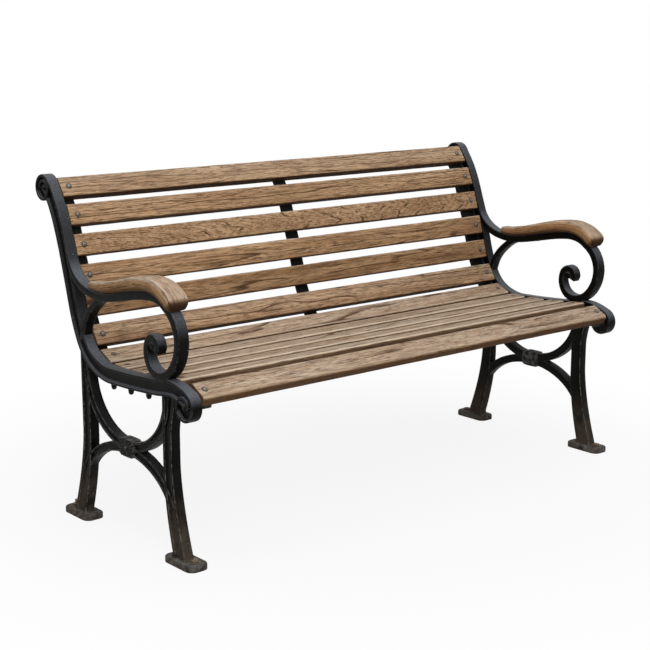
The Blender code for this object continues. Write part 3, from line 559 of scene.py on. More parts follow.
@dataclass(frozen=True)
class IronFinish:
    """Black paint on a sand casting, dusty above with a painted sheen on faces turned up, and stained brown
    near the ground.
    """

    name: str = "painted_cast_iron"
    paint: Colour = (0.0036, 0.0034, 0.0027)
    dust_and_sheen: Colour = (0.115, 0.123, 0.140)
    soil: Colour = (0.072, 0.056, 0.043)
    rubbed_and_highlight: Colour = (0.175, 0.170, 0.155)
    rust: Colour = (0.085, 0.040, 0.019)
    chip: Colour = (0.300, 0.255, 0.195)

    def material(self) -> Material:
        """Paint with dust and a painted sheen on faces turned up, soil, rust, corners rubbed pale with
        painted highlights, and small chips.
        """
        tree = Tree(self.name)
        fine = tree.noise(tree.place((260.0,) * 3), 4.0, 0.6)
        patch = tree.noise(tree.place((22.0,) * 3), 4.0, 0.6)
        # Dust and a painted blue-grey sky sheen on faces turned up, kept mostly to the rail and arm, with a
        # few faint dust patches everywhere.
        upward = tree.span(tree.facing().outputs["Z"], 0.04, 0.85)
        low = tree.span(tree.coordinate("Z"), 0.19, 0.012)
        colour = tree.mix(tree.span(patch, 0.45, 0.75, 0.0, 0.03), self.paint, self.dust_and_sheen)
        sheen_and_dust_share = tree.times(upward, tree.span(fine, 0.25, 0.75, 0.45, 0.95))
        high = tree.span(tree.coordinate("Z"), 0.33, 0.40, 0.18, 1.0)
        sheen_and_dust_share = tree.times(sheen_and_dust_share, tree.maths("MAXIMUM", high, tree.times(low, 0.45)))
        # Painted shade: less dust and sheen on the plates sheltered between the slats, as if in their shadow.
        aside = tree.maths("ABSOLUTE", tree.coordinate("X"))
        sheen_and_dust_share = tree.times(sheen_and_dust_share, tree.maths("MAXIMUM", low, tree.span(aside, 0.7215, 0.7245, 0.15, 1.0)))
        colour = tree.mix(sheen_and_dust_share, colour, self.dust_and_sheen)
        soil_and_shade = tree.times(low, tree.span(patch, 0.28, 0.62, 0.15, 0.90))
        colour = tree.mix(soil_and_shade, colour, self.soil)
        stain = tree.span(tree.noise(tree.place((60.0,) * 3, (3.0, 1.0, 2.0)), 5.0, 0.7), 0.55, 0.70)
        colour = tree.mix(tree.times(stain, tree.plus(tree.times(low, 0.70), 0.05)), colour, self.rust)
        # Painted highlights: rounded corners lightened as thin bright lines, stronger on the legs and arcs,
        # partly paint rubbed off.
        corner = tree.span(tree.add("Attribute", {"attribute_name": "corner"}).outputs["Fac"], 0.60, 1.0)
        uneven = tree.noise(tree.place((75.0,) * 3, (7.0, 2.0, 4.0)), 4.0, 0.65)
        corner = tree.times(corner, tree.span(uneven, 0.38, 0.70, 0.02, 0.42))
        corner = tree.times(corner, tree.span(tree.coordinate("Z"), 0.36, 0.41, 1.9, 0.55))
        colour = tree.mix(corner, colour, self.rubbed_and_highlight)
        spread = {"Vector": tree.place((95.0,) * 3), "Scale": 1.0, "Randomness": 1.0}
        dots = tree.add("TexVoronoi", {"feature": "F1"}, spread).outputs
        speck = tree.span(dots["Distance"], 0.13, 0.08)
        chance = tree.add("SeparateColor", {}, {0: dots["Color"]}).outputs["Red"]
        chance = tree.plus(chance, tree.span(tree.coordinate("Z"), 0.36, 0.16, 0.0, 0.10))
        sparse = tree.span(chance, 0.88, 0.90)
        speck = tree.times(speck, sparse)
        colour = tree.mix(tree.times(speck, 0.85), colour, self.chip)
        rough = tree.plus(tree.span(fine, 0.2, 0.8, 0.32, 0.46), tree.times(low, 0.25))
        relief = tree.plus(fine, tree.times(patch, 1.5))
        tree.shader.inputs["Specular IOR Level"].default_value = 0.042
        return tree.surface(colour, rough, relief, 0.0006)


@dataclass(frozen=True)
class PlatedFinish:
    """Dull plated steel with tarnish and rust."""

    name: str
    metal: Colour = (0.150, 0.136, 0.118)
    tarnish: Colour = (0.070, 0.056, 0.044)
    rust: Colour = (0.115, 0.050, 0.020)
    rusted: float = 0.25
    metallic: float = 0.75

    def material(self) -> Material:
        """Metal with tarnish in patches and rust over its share of the surface."""
        tree = Tree(self.name)
        fine = tree.noise(tree.place((900.0,) * 3), 4.0, 0.65)
        patch = tree.noise(tree.place((170.0,) * 3), 3.0, 0.6)
        colour = tree.mix(tree.span(patch, 0.35, 0.7, 0.05, 0.75), self.metal, self.tarnish)
        edge = 0.72 - 0.35 * self.rusted
        rust = tree.noise(tree.place((260.0,) * 3, (1.0, 4.0, 2.0)), 4.0, 0.7)
        rust = tree.span(rust, edge - 0.08, edge + 0.06)
        colour = tree.mix(rust, colour, self.rust)
        metallic = tree.span(rust, 0.0, 1.0, self.metallic, 0.0)
        rough = tree.plus(tree.span(fine, 0.2, 0.8, 0.34, 0.5), tree.times(rust, 0.35))
        return tree.surface(colour, rough, fine, 0.00015, metallic)


@dataclass
class Finishes:
    """All finishes of the bench, made once."""

    iron: Material = field(init=False)
    timber: Material = field(init=False)
    arm_timber: Material = field(init=False)
    zinc: Material = field(init=False)
    stained: Material = field(init=False)
    rusted: Material = field(init=False)
    grime_and_shade: Material = field(init=False)

    def __post_init__(self) -> None:
        """Make the materials."""
        self.iron = IronFinish().material()
        self.timber = TimberFinish("weathered_timber").material()
        self.arm_timber = TimberFinish(
            "armrest_timber",
            body=(0.420, 0.215, 0.080), light=(0.520, 0.296, 0.128), bleached=(0.470, 0.400, 0.330),
            ring=0.0075, figure=0.45, end_grain=0.0, exposed=(0.05, 0.55), nose_shade=0.88,
        ).material()
        self.zinc = PlatedFinish("zinc_plated_steel").material()
        self.stained = PlatedFinish(
            "stained_plating",
            metal=(0.14, 0.095, 0.062), tarnish=(0.06, 0.036, 0.022), rusted=0.55, metallic=0.3,
        ).material()
        self.rusted = PlatedFinish(
            "rusted_steel",
            metal=(0.19, 0.145, 0.092), tarnish=(0.09, 0.066, 0.043), rust=(0.078, 0.045, 0.024),
            rusted=0.40, metallic=0.5,
        ).material()
        # Dark finish of the rings round the bolt heads: painted contact shade with some grime.
        self.grime_and_shade = PlatedFinish(
            "bolt_ring_shade", metal=(0.030, 0.022, 0.016), tarnish=(0.018, 0.013, 0.010), rusted=0.3, metallic=0.0
        ).material()


# Shape shared by frames, slats and fasteners


@dataclass(frozen=True)
class Profile:
    """Where the slats lie across the bench, and the lines that follow them."""

    seat_height: float = 0.431
    rear_slat_y: float = 0.01165
    back_places: tuple[Point, ...] = (
        (0.2545, 0.4185), (0.216, 0.351), (0.189, 0.277), (0.165, 0.202),
        (0.144, 0.128), (0.1125, 0.0585), (0.064, 0.014),
    )
    seat_pitch: float = 0.0778
    seat_rises: tuple[float, ...] = (0.0, 0.0015, 0.0065, 0.0125)
    front_place: Point = (-0.0935, 0.0015)
    leans: tuple[float, ...] = (35.0, 23.5, 17.5, 15.0, 16.0, 31.0, 65.0, 88.0, 92.0, 94.0, 95.0, 61.0)
    slat_length: float = 1.434
    slat_width: float = 0.057
    slat_thickness: float = 0.028
    touch_gap: float = 0.0003

    @property
    def seat_front(self) -> float:
        """Place of the foremost level slat."""
        return self.rear_slat_y - self.seat_pitch * (len(self.seat_rises) - 1)

    @property
    def slat_end(self) -> float:
        """Half the length of a slat."""
        return self.slat_length / 2

    def rear_point(self, point: Point) -> Vector:
        """Point counted from the rear seat slat's face."""
        return Vector((point[0] + self.rear_slat_y, point[1] + self.seat_height))

    def front_point(self, point: Point) -> Vector:
        """Point counted from the foremost level slat at the height of the rear one."""
        return Vector((point[0] + self.seat_front, point[1] + self.seat_height))

    def seats(self) -> list[tuple[Vector, float]]:
        """Middle of each slat's outer face and its lean from upright, top of back to seat front."""
        places = [self.rear_point(p) for p in self.back_places]
        places += [self.rear_point((-self.seat_pitch * k, rise)) for k, rise in enumerate(self.seat_rises)]
        places.append(self.front_point(self.front_place))
        return [(p, math.radians(lean)) for p, lean in zip(places, self.leans)]

    @staticmethod
    def way(lean: float) -> Vector:
        """Unit step down the back and forward along the seat for a lean."""
        return Vector((-math.sin(lean), -math.cos(lean)))

    def outer_line(self, before: float, after: float, bend_step: float = 2.5) -> list[Vector]:
        """Smooth line over the outer faces, through the gaps between slats.

        Args:
            before: Reach above the top slat's middle.
            after: Reach past the front slat's middle.
            bend_step: Bend of one span in degrees.

        Returns:
            The line's points from the top of the back to the seat front.
        """
        seats = self.seats()
        half = self.slat_width / 2
        stations = [(seats[0][0] - self.way(seats[0][1]) * before, seats[0][1])]
        for (p, a), (q, b) in zip(seats, seats[1:]):
            stations.append(((p + self.way(a) * half + q - self.way(b) * half) / 2, (a + b) / 2))
        stations.append((seats[-1][0] + self.way(seats[-1][1]) * after, seats[-1][1]))
        line = [stations[0][0]]
        for (p, a), (q, b) in zip(stations, stations[1:]):
            reach = (q - p).length
            count = max(2, math.ceil(abs(math.degrees(b - a)) / bend_step))
            for k in range(1, count + 1):
                t = k / count
                point = p * (2 * t**3 - 3 * t**2 + 1) + q * (3 * t**2 - 2 * t**3)
                point += (self.way(a) * (t**3 - 2 * t**2 + t) + self.way(b) * (t**3 - t**2)) * reach
                line.append(point)
        return line

    def bearing_line(self, depth: float, top_in: float, front_in: float) -> list[Vector]:
        """Flat seats behind the slats at a depth behind their outer faces.

        Args:
            depth: Depth behind the outer faces.
            top_in: How far the line stops short of the top slat's upper edge.
            front_in: How far it stops short of the front slat's front edge.

        Returns:
            The line's points from the top of the back to the seat front.
        """
        line = []
        for place, lean in self.seats():
            centre = place - side_of(self.way(lean)) * depth
            half = self.way(lean) * self.slat_width / 2
            line += [centre - half, centre + half]
        line[0] += self.way(self.seats()[0][1]) * top_in
        line[-1] -= self.way(self.seats()[-1][1]) * front_in
        return line


def mark_corners(piece: Piece) -> None:
    """Write how sharply each point of a casting stands out, from 0 on a flat to 1 on a corner."""
    bm = bmesh.new()
    bm.from_mesh(piece.data)
    sharp = []
    for vertex in bm.verts:
        bends = [edge.calc_face_angle_signed(0.0) for edge in vertex.link_edges]
        sharp.append(held(max(bends, default=0.0) / 0.45))
    bm.free()
    marks = piece.data.attributes.new("corner", "FLOAT", "POINT")
    marks.data.foreach_set("value", sharp)


def hand_over(piece: Piece, material: Material, nodes: Sequence[str], name: str) -> None:
    """Dress a finished piece and give it to the frame.

    Args:
        piece: The finished mesh.
        material: Its finish, where it has none yet.
        nodes: The CAD nodes that it stands for.
        name: Name of the piece.
    """
    piece.name = name
    piece.data.name = name
    if not piece.data.materials:
        piece.data.materials.append(material)
    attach(piece, "root")
    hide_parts(*nodes)
    LOG.info("%s: %d faces", name, len(piece.data.polygons))


@dataclass
class EndFrame:
    """One casting: rail with scrolls, arm, legs, arcs, rosette and feet, drawn for the end at +X."""

    profile: Profile
    rim_gap: float = 0.0064
    rim_width: float = 0.028
    rim_depth: float = 0.008
    rim_proud: float = 0.001
    rail_depth: float = 0.041
    rail_web: float = 0.012
    rim_round: float = 0.003
    bead_round: float = 0.0025
    bead_width: float = 0.027
    bead_depth: float = 0.007
    flange_reach: float = 0.038
    flange_depth: float = 0.012
    flange_ends: Point = (0.014, 0.003)
    # reach of the rail past the last slat's middle, first radius and winding in degrees
    top_scroll: tuple[float, float, float] = (0.0180, 0.0362, 500.0)
    front_scroll: tuple[float, float, float] = (0.0090, 0.0382, 430.0)
    backing_recess: float = 0.0012
    scroll_bar: Point = (0.0078, 0.030)
    scroll_eye: float = 0.010
    scroll_disc: float = 0.010
    scroll_lap: float = 0.006
    scroll_bend: float = 1.6
    arm_bar: Point = (0.022, 0.031)
    arm_root: tuple[float, ...] = (0.385, 0.350, 0.318, 0.288)
    arm_rear: tuple[Point, ...] = (
        (0.1803, 0.2600), (0.1705, 0.2365), (0.1545, 0.2168), (0.1330, 0.2015), (0.1080, 0.1910),
        (0.0800, 0.1845), (0.0500, 0.1814), (0.0200, 0.1825), (-0.0100, 0.1865), (-0.0450, 0.1928),
        (-0.0850, 0.2008),
    )
    arm_front: tuple[Point, ...] = (
        (0.097, 0.1995), (0.042, 0.2050), (0.006, 0.199), (-0.019, 0.1855), (-0.034, 0.174), (-0.047, 0.160),
        (-0.058, 0.139), (-0.063, 0.115), (-0.0605, 0.090), (-0.052, 0.067), (-0.037, 0.045), (-0.016, 0.028),
        (0.010, 0.0195), (0.036, 0.023), (0.055, 0.036), (0.066, 0.056), (0.068, 0.077), (0.061, 0.096),
        (0.0455, 0.105), (0.031, 0.100), (0.025, 0.087), (0.030, 0.0745),
    )
    arm_taper: float = 0.86
    arm_eye: Point = (0.0455, 0.0865)
    arm_eye_radius: float = 0.0115
    loop_bar: Point = (0.018, 0.026)
    loop_line: tuple[Point, ...] = (
        (0.1295, 0.047), (0.1218, 0.072), (0.1120, 0.097), (0.0955, 0.120),
        (0.0755, 0.139), (0.0530, 0.1555), (0.0300, 0.1665), (0.0050, 0.1720),
    )
    leg_clearance: float = 0.001
    leg_width: float = 0.027
    leg_web: float = 0.018
    leg_edge: float = 0.008
    leg_depth: float = 0.036
    leg_foot_depth: float = 0.050
    leg_spread: tuple[Point, ...] = ((0.004, 1.02), (0.003, 1.035), (0.002, 1.05), (0.004, 1.06))
    front_leg: float = -0.0035
    rear_leg: float = 0.1275
    front_flare: float = 0.046
    rear_flare: float = 0.054
    flare_height: float = 0.240
    flare_bend: float = 1.7
    leg_rings: int = 16
    leg_base: float = 0.010
    bedding: float = 0.004
    # reach, height and power of the curve forward at the front leg's top
    crown: tuple[float, float, float] = (0.024, 0.095, 1.5)
    crown_rings: int = 14
    arc_depth: float = 0.024
    arc_edge: float = 0.005
    # width along X, thickness of the web and height of each arc
    upper_arc: tuple[float, float, float] = (0.026, 0.014, 0.158)
    upper_arc_insets: Point = (0.002, 0.0085)
    upper_arc_below: float = 0.004
    lower_arc: tuple[float, float, float] = (0.025, 0.013, 0.102)
    lower_arc_start: float = 18.0
    arc_spacing: float = 0.009
    arc_spans: int = 40
    rosette_half: Point = (0.0330, 0.0232)
    rosette_shift: Point = (0.0008, -0.0008)
    rosette_ribs: int = 20
    rosette_width: float = 0.029
    rosette_rim: float = 0.0014
    rosette_insets: tuple[float, ...] = (0.0014, 0.004, 0.006, 0.006, 0.006, 0.0012, 0.0016)
    rosette_boss: float = 0.0016
    rosette_groove: float = 0.0026
    pip_out: float = 0.0006
    pip_size: Point = (0.0072, 0.010)
    pip_steps: tuple[Point, ...] = ((0.005, 0.88), (0.003, 0.80), (0.0015, 0.6))
    foot_heel: float = 0.034
    foot_width: float = 0.058
    foot_thickness: float = 0.016
    foot_corner: float = 0.020
    foot_set_in: float = 0.0025
    anchor_from_leg: float = 0.0025
    anchor_from_end: float = 0.023
    anchor_head: float = 0.0095

    @property
    def rim_x(self) -> float:
        """Middle of the rail along X."""
        return self.profile.slat_end + self.rim_gap + self.rim_width / 2

    @property
    def leg_x(self) -> float:
        """Middle of the legs along X."""
        return self.profile.slat_end + self.leg_clearance + self.leg_width / 2

    @property
    def foot_x(self) -> float:
        """Middle of the feet along X."""
        return self.leg_x - self.foot_set_in

    def outer_line(self) -> list[Vector]:
        """Outer line of the rail between its two scrolls."""
        return self.profile.outer_line(self.top_scroll[0], self.front_scroll[0])

    def arm_face(self) -> list[tuple[Vector, Vector, float]]:
        """Upper face of the arm, from the back rail round the open scroll.

        Returns:
            The face's points, the way out of it at each and the arm's depth below it.
        """
        rim = moved_aside(self.outer_line(), self.rim_proud + 0.0002)
        points = [self.at_height(rim, self.profile.seat_height + height) for height in self.arm_root]
        points += [self.profile.rear_point(p) for p in self.arm_rear]
        points += moved_aside([self.profile.front_point(p) for p in self.arm_front], self.arm_bar[0] / 2)
        face = flowing(points, 4)
        start = 4 * (len(self.arm_root) - 1)
        found = []
        for k, (point, way) in enumerate(zip(face, ways(face))):
            grown = held((k - start) / 20)
            depth = self.rim_depth + (self.arm_bar[0] - self.rim_depth) * grown * grown * (3.0 - 2.0 * grown)
            found.append((point, side_of(way), depth))
        return found

    @staticmethod
    def at_height(line: Sequence[Vector], height: float) -> Vector:
        """Point of a falling line at a height."""
        for a, b in zip(line, line[1:]):
            if b.y <= height <= a.y:
                return a.lerp(b, (a.y - height) / (a.y - b.y))
        raise ValueError("the line does not reach the height")

    def rail(self) -> Piece:
        """Rail with a rim towards the sitter, a thin web and a bead along its other edge."""
        d = self.rail_depth / 2
        r = self.rim_width / 2
        b = self.bead_width / 2
        w = self.rail_web / 2
        rim = d - self.rim_depth
        bead = self.bead_depth - d
        half = [(d, r, self.rim_round), (rim, r, self.rim_round), (rim - 0.001, w, self.rim_round)]
        half += [(bead + 0.001, w, self.rim_round), (bead, b, self.bead_round), (-d, b, self.bead_round)]
        outline = rounded(half + [(a, -c, e) for a, c, e in reversed(half)], 3)
        return swept("rail", outline, moved_aside(self.outer_line(), self.rim_proud - d), self.rim_x)

    def flange(self) -> Piece:
        """Plate behind the slats that their bolts go through."""
        depth = self.profile.slat_thickness + self.profile.touch_gap + self.flange_depth / 2
        line = self.profile.bearing_line(depth, *self.flange_ends)
        tip = (line[-1] - line[-2]).normalized()
        line[-1:] = [line[-1] - tip * 0.014, line[-1] - tip * 0.005, line[-1] + side_of(tip) * 0.0015]
        sizes = [(1.0, 1.0)] * (len(line) - 2) + [(0.94, 0.97), (0.62, 0.86)]
        inner = self.profile.slat_end - self.flange_reach
        outer = self.rim_x - self.rail_web / 4
        outline = bar_outline(self.flange_depth, outer - inner, 0.002, 2)
        return swept("flange", outline, line, (inner + outer) / 2, sizes)

    def scroll(
        self, start: Vector, way: Vector, sense: float, radius: float, winding: float, backed: bool = False
    ) -> list[Piece]:
        """Scroll that winds in from an end of the rail round a bossed disc.

        Args:
            start: End of the rail's outer line.
            way: Unit way out of the rail.
            sense: 1 to wind one way, -1 the other.
            radius: First radius of the winding.
            winding: Whole turn in degrees.
            backed: Whether the disc fills the scroll's face towards the slats.

        Returns:
            The bar, the disc and the boss.
        """
        inward = Vector((-way.y, way.x)) * sense
        centre = start + inward * radius
        depth = self.rim_depth / 2 - self.rim_proud
        inner = self.scroll_eye + self.scroll_bar[0]
        path = [start + inward * depth - way * self.scroll_lap]
        count = round(winding / 10.0)
        for k in range(count + 1):
            share = k / count
            arm = Matrix.Rotation(math.radians(winding) * share * sense, 2) @ (-inward)
            path.append(centre + arm * (radius + (inner - radius) * share**self.scroll_bend - depth))
        bar = swept("scroll", bar_outline(*self.scroll_bar, 0.0026), path, self.rim_x)
        disc = self.wheel("scroll_disc", centre, radius - self.rim_depth, self.scroll_disc, 0.001, 40)
        if backed:
            reach = (self.scroll_bar[1] - self.scroll_disc) / 2 - self.backing_recess
            for vertex in disc.data.vertices:
                if vertex.co.x < self.rim_x:
                    vertex.co.x -= reach
        boss = self.wheel("scroll_boss", centre, self.scroll_eye, self.scroll_bar[1] - 0.004, 0.006, 32)
        return [bar, disc, boss]

    def wheel(
        self, name: str, centre: Vector, radius: float, width: float, easing: float, sides: int
    ) -> Piece:
        """Round boss across the rail with eased rims.

        Args:
            name: Name of the piece.
            centre: (y, z) of its axis.
            radius: Outer radius.
            width: Width along X.
            easing: Rounding of its two rims.
            sides: Spans round it.

        Returns:
            The new piece.
        """
        piece = cylinder(name, sides, (radius, width), (self.rim_x, centre.x, centre.y), across=True)
        with editing(piece, "EDGE"):
            pick("edges", lambda e: abs(e.verts[0].co.x - e.verts[1].co.x) < 1e-6)
            bpy.ops.mesh.bevel(offset=easing, segments=5, affect="EDGES")
        tidy_mesh(piece)
        return piece

    def arm(self) -> list[Piece]:
        """Arm bar with its open scroll and ball end, and the bar that closes the loop against the back."""
        face = self.arm_face()
        last = len(face) - 1
        narrow = self.rim_width / self.arm_bar[1]
        sizes = []
        for k, (_, _, depth) in enumerate(face):
            wide = narrow + (1.0 - narrow) * (depth - self.rim_depth) / (self.arm_bar[0] - self.rim_depth)
            taper = 1.0 + (self.arm_taper - 1.0) * held((k / last - 0.75) / 0.12)
            sizes.append((depth / self.arm_bar[0] * taper, wide * taper))
        section = bar_outline(*self.arm_bar, 0.0045)
        outline = [(depth - self.arm_bar[0] / 2, width) for depth, width in section]
        bar = swept("arm", outline, [point for point, _, _ in face], self.rim_x, sizes)
        centre = self.profile.front_point(self.arm_eye)
        broad = self.arm_bar[1] * self.arm_taper - 0.001
        ball = self.wheel("arm_ball", centre, self.arm_eye_radius, broad, 0.007, 36)
        loop_path = flowing([self.profile.rear_point(p) for p in self.loop_line], 4)
        loop = swept("loop", bar_outline(*self.loop_bar, 0.004), loop_path, self.rim_x)
        return [bar, ball, loop]

    def underside(self, y: float) -> float:
        """Height of the rail's lower edge at a depth."""
        line = moved_aside(self.outer_line(), self.rim_proud - self.rail_depth)
        for a, b in zip(line, line[1:]):
            if b.x <= y <= a.x:
                return a.lerp(b, (a.x - y) / (a.x - b.x)).y
        raise ValueError("the rail does not reach the leg")

    def leg_middle(self, end: int, height: float) -> float:
        """Middle of a leg at a height; end is -1 in front and 1 behind."""
        share = max(0.0, 1.0 - height / self.flare_height)
        if end < 0:
            return self.profile.seat_front + self.front_leg - self.front_flare * share**self.flare_bend
        return self.profile.rear_slat_y + self.rear_leg + self.rear_flare * share**self.flare_bend

    def leg(self, end: int) -> Piece:
        """Leg drawn down to the foot and up to the rail in level rings, with a hollow outer face.

        The front leg's top curves forward to meet the scroll.

        Args:
            end: -1 for the front leg, 1 for the rear.

        Returns:
            The new piece.
        """
        outline = channel_outline(self.leg_depth, self.leg_width, self.leg_web, self.leg_edge, 0.0025)
        top_y = self.leg_middle(end, self.flare_height)
        half = self.leg_depth / 2
        top = self.underside(top_y) + self.bedding
        rise = top - self.flare_height
        piece = flat_ring("leg", len(outline))
        for vertex, (depth, width) in zip(piece.data.vertices, outline):
            vertex.co = (self.leg_x + width, top_y + depth, self.flare_height)
        with editing(piece):
            everything()
            here = (top_y, self.flare_height, self.leg_depth)
            drop = self.foot_thickness + self.leg_base - self.flare_height
            for k in range(1, self.leg_rings + 1):
                height = self.flare_height + drop * k / self.leg_rings
                depth = self.leg_depth + (self.leg_foot_depth - self.leg_depth) * k / self.leg_rings
                there = (self.leg_middle(end, height), height, depth)
                step = (0.0, there[0] - here[0], there[1] - here[1])
                extrude(step)
                centre = (self.leg_x, there[0], there[1])
                bpy.ops.transform.resize(value=(1.0, there[2] / here[2], 1.0), center_override=centre)
                here = there
            for step, spread in self.leg_spread:
                extrude((0.0, 0.0, -step))
                centre = (self.leg_x, here[0], here[1])
                bpy.ops.transform.resize(value=(spread, spread, 1.0), center_override=centre)
            pick("faces", lambda f: middle(f).z > self.flare_height - 1e-5)
            for _ in range(self.crown_rings):
                step = (0.0, 0.0, rise / self.crown_rings)
                extrude(step)
        forward, height, bend = self.crown
        for vertex in piece.data.vertices:
            share = (vertex.co.z - self.flare_height) / rise
            if share <= 1e-5:
                continue
            if end < 0:
                front = (top_y + half - vertex.co.y) / self.leg_depth
                vertex.co.y -= forward * front * max(0.0, 1.0 - (top - vertex.co.z) / height) ** bend
            vertex.co.z += share * (self.underside(vertex.co.y) + self.bedding - top)
        tidy_mesh(piece)
        return piece

    def arcs(self) -> tuple[list[Piece], Vector]:
        """Upper and lower arcs between the legs.

        Returns:
            The two arcs, and the place where they meet.
        """
        legs = (self.leg_middle(-1, self.flare_height), self.leg_middle(1, self.flare_height))
        ends = self.underside(legs[0]) - self.upper_arc_below
        y_from = legs[0] + self.upper_arc_insets[0]
        y_to = legs[1] - self.upper_arc_insets[1]
        centre = Vector(((y_from + y_to) / 2, ends))
        reach = ((y_to - y_from) / 2, self.upper_arc[2])
        upper = self.arc("upper_arc", self.upper_arc[:2], centre, reach, 180.0, 360.0)
        top = ends - self.upper_arc[2] - self.arc_spacing
        start = math.radians(self.lower_arc_start)
        rise = self.lower_arc[2] / (1.0 - math.sin(start))
        y_from = self.leg_middle(-1, top - self.lower_arc[2])
        y_to = self.leg_middle(1, top - self.lower_arc[2])
        reach = ((y_to - y_from) / 2 / math.cos(start), rise)
        low = Vector(((y_from + y_to) / 2, top - rise))
        turns = (self.lower_arc_start, 180.0 - self.lower_arc_start)
        lower = self.arc("lower_arc", self.lower_arc[:2], low, reach, *turns)
        return [upper, lower], Vector((centre.x, top + self.arc_spacing / 2)) + Vector(self.rosette_shift)

    def arc(self, name: str, section: Point, centre: Vector, reach: Point, start: float, end: float) -> Piece:
        """Bar with a hollow outer face along part of an ellipse.

        Args:
            name: Name of the piece.
            section: Width along X and thickness of the web.
            centre: (y, z) of the ellipse.
            reach: Half its depth and half its height.
            start: First angle in degrees.
            end: Last angle in degrees.

        Returns:
            The new piece.
        """
        path = []
        for k in range(self.arc_spans + 1):
            angle = math.radians(start + (end - start) * k / self.arc_spans)
            path.append(centre + Vector((reach[0] * math.cos(angle), reach[1] * math.sin(angle))))
        outline = channel_outline(self.arc_depth, section[0], section[1], self.arc_edge, 0.002)
        return swept(name, outline, path, self.leg_x)

    def rosette(self, meeting: Vector) -> Piece:
        """Ridged block where the arcs meet, with ribs spread from a boss on its outer face.

        Args:
            meeting: (y, z) of its middle.

        Returns:
            The new piece.
        """
        radius = self.rosette_half[0]
        place = (self.leg_x, meeting.x, meeting.y)
        piece = cylinder("rosette", self.rosette_ribs * 6, (radius, self.rosette_width), place, across=True)
        outer = self.leg_x + self.rosette_width / 2
        with editing(piece):
            pick("faces", lambda f: len(f.verts) > 8)
            bpy.ops.mesh.inset(thickness=self.rosette_rim, use_even_offset=False)
            pick("faces", lambda f: len(f.verts) > 8 and middle(f).x > self.leg_x)
            for thickness in self.rosette_insets:
                bpy.ops.mesh.inset(thickness=thickness, use_even_offset=False)
            bpy.ops.transform.translate(value=(self.rosette_boss, 0.0, 0.0))
        for vertex in piece.data.vertices:
            away = Vector((vertex.co.y - meeting.x, vertex.co.z - meeting.y))
            share = away.length / radius
            angle = math.atan2(away.y, away.x)
            rib = abs(2.0 * (angle / math.tau * self.rosette_ribs % 1.0) - 1.0)
            groove = max(0.0, (rib - 0.25) / 0.75) ** 1.5
            way = (math.cos(angle), math.sin(angle))
            reach = sum(abs(part / half) ** 5 for part, half in zip(way, self.rosette_half)) ** -0.2
            size = share * reach * (1.0 - 0.050 * groove * held((share - 0.80) / 0.12))
            vertex.co.y = meeting.x + math.cos(angle) * size
            vertex.co.z = meeting.y + math.sin(angle) * size
            if share > 0.985:
                vertex.co.x -= math.copysign(self.rosette_rim, vertex.co.x - self.leg_x)
            elif vertex.co.x > outer - 1e-5 and share > 0.2:
                vertex.co.x -= self.rosette_groove * groove * min(1.0, 4.0 * (share - 0.15))
        tidy_mesh(piece, 35.0)
        return piece

    def pip(self, y: float) -> Piece:
        """Capped bolt end below the seat part of the rail.

        Args:
            y: Its place along the rail.

        Returns:
            The new piece.
        """
        x = self.rim_x + self.pip_out
        top = self.underside(y) + self.bedding
        piece = cylinder("pip", 18, self.pip_size, (x, y, top - self.pip_size[1] / 2))
        with editing(piece):
            for drop, size in self.pip_steps:
                pick("faces", lambda f: f.normal.z < -0.9)
                extrude((0.0, 0.0, -drop))
                bpy.ops.transform.resize(value=(size, size, 1.0), center_override=(x, y, 0.0))
        tidy_mesh(piece, 40.0)
        return piece

    def foot_places(self, end: int) -> tuple[float, float, float, float]:
        """Heel, leg, anchor bolt and toe of a foot as y; end is -1 in front and 1 behind."""
        leg_y = self.leg_middle(end, 0.0)
        anchor = leg_y + end * (self.leg_foot_depth / 2 + self.anchor_from_leg + self.anchor_head)
        heel = leg_y - end * (self.leg_foot_depth / 2 + self.foot_heel)
        return heel, leg_y, anchor, anchor + end * self.anchor_from_end

    def foot(self, end: int) -> Piece:
        """Oblong pad with rounded corners and a chamfered upper rim.

        Args:
            end: -1 for the front foot, 1 for the rear.

        Returns:
            The new piece.
        """
        heel, _, _, toe = self.foot_places(end)
        fresh()
        place = (self.foot_x, (heel + toe) / 2, self.foot_thickness / 2)
        bpy.ops.mesh.primitive_cube_add(size=1.0, location=place)
        piece = bpy.context.object
        piece.name = "foot"
        piece.scale = (self.foot_width, abs(toe - heel), self.foot_thickness)
        settle(piece)
        with editing(piece, "EDGE"):
            pick("edges", lambda e: abs(e.verts[0].co.z - e.verts[1].co.z) > 0.001)
            bpy.ops.mesh.bevel(offset=self.foot_corner, segments=10, affect="EDGES")
            pick("edges", lambda e: min(v.co.z for v in e.verts) > self.foot_thickness - 1e-5)
            bpy.ops.mesh.bevel(offset=0.0035, segments=3, affect="EDGES", profile=0.4)
            pick("edges", lambda e: max(v.co.z for v in e.verts) < 1e-5)
            bpy.ops.mesh.bevel(offset=0.001, segments=2, affect="EDGES")
        tidy_mesh(piece, 30.0)
        return piece

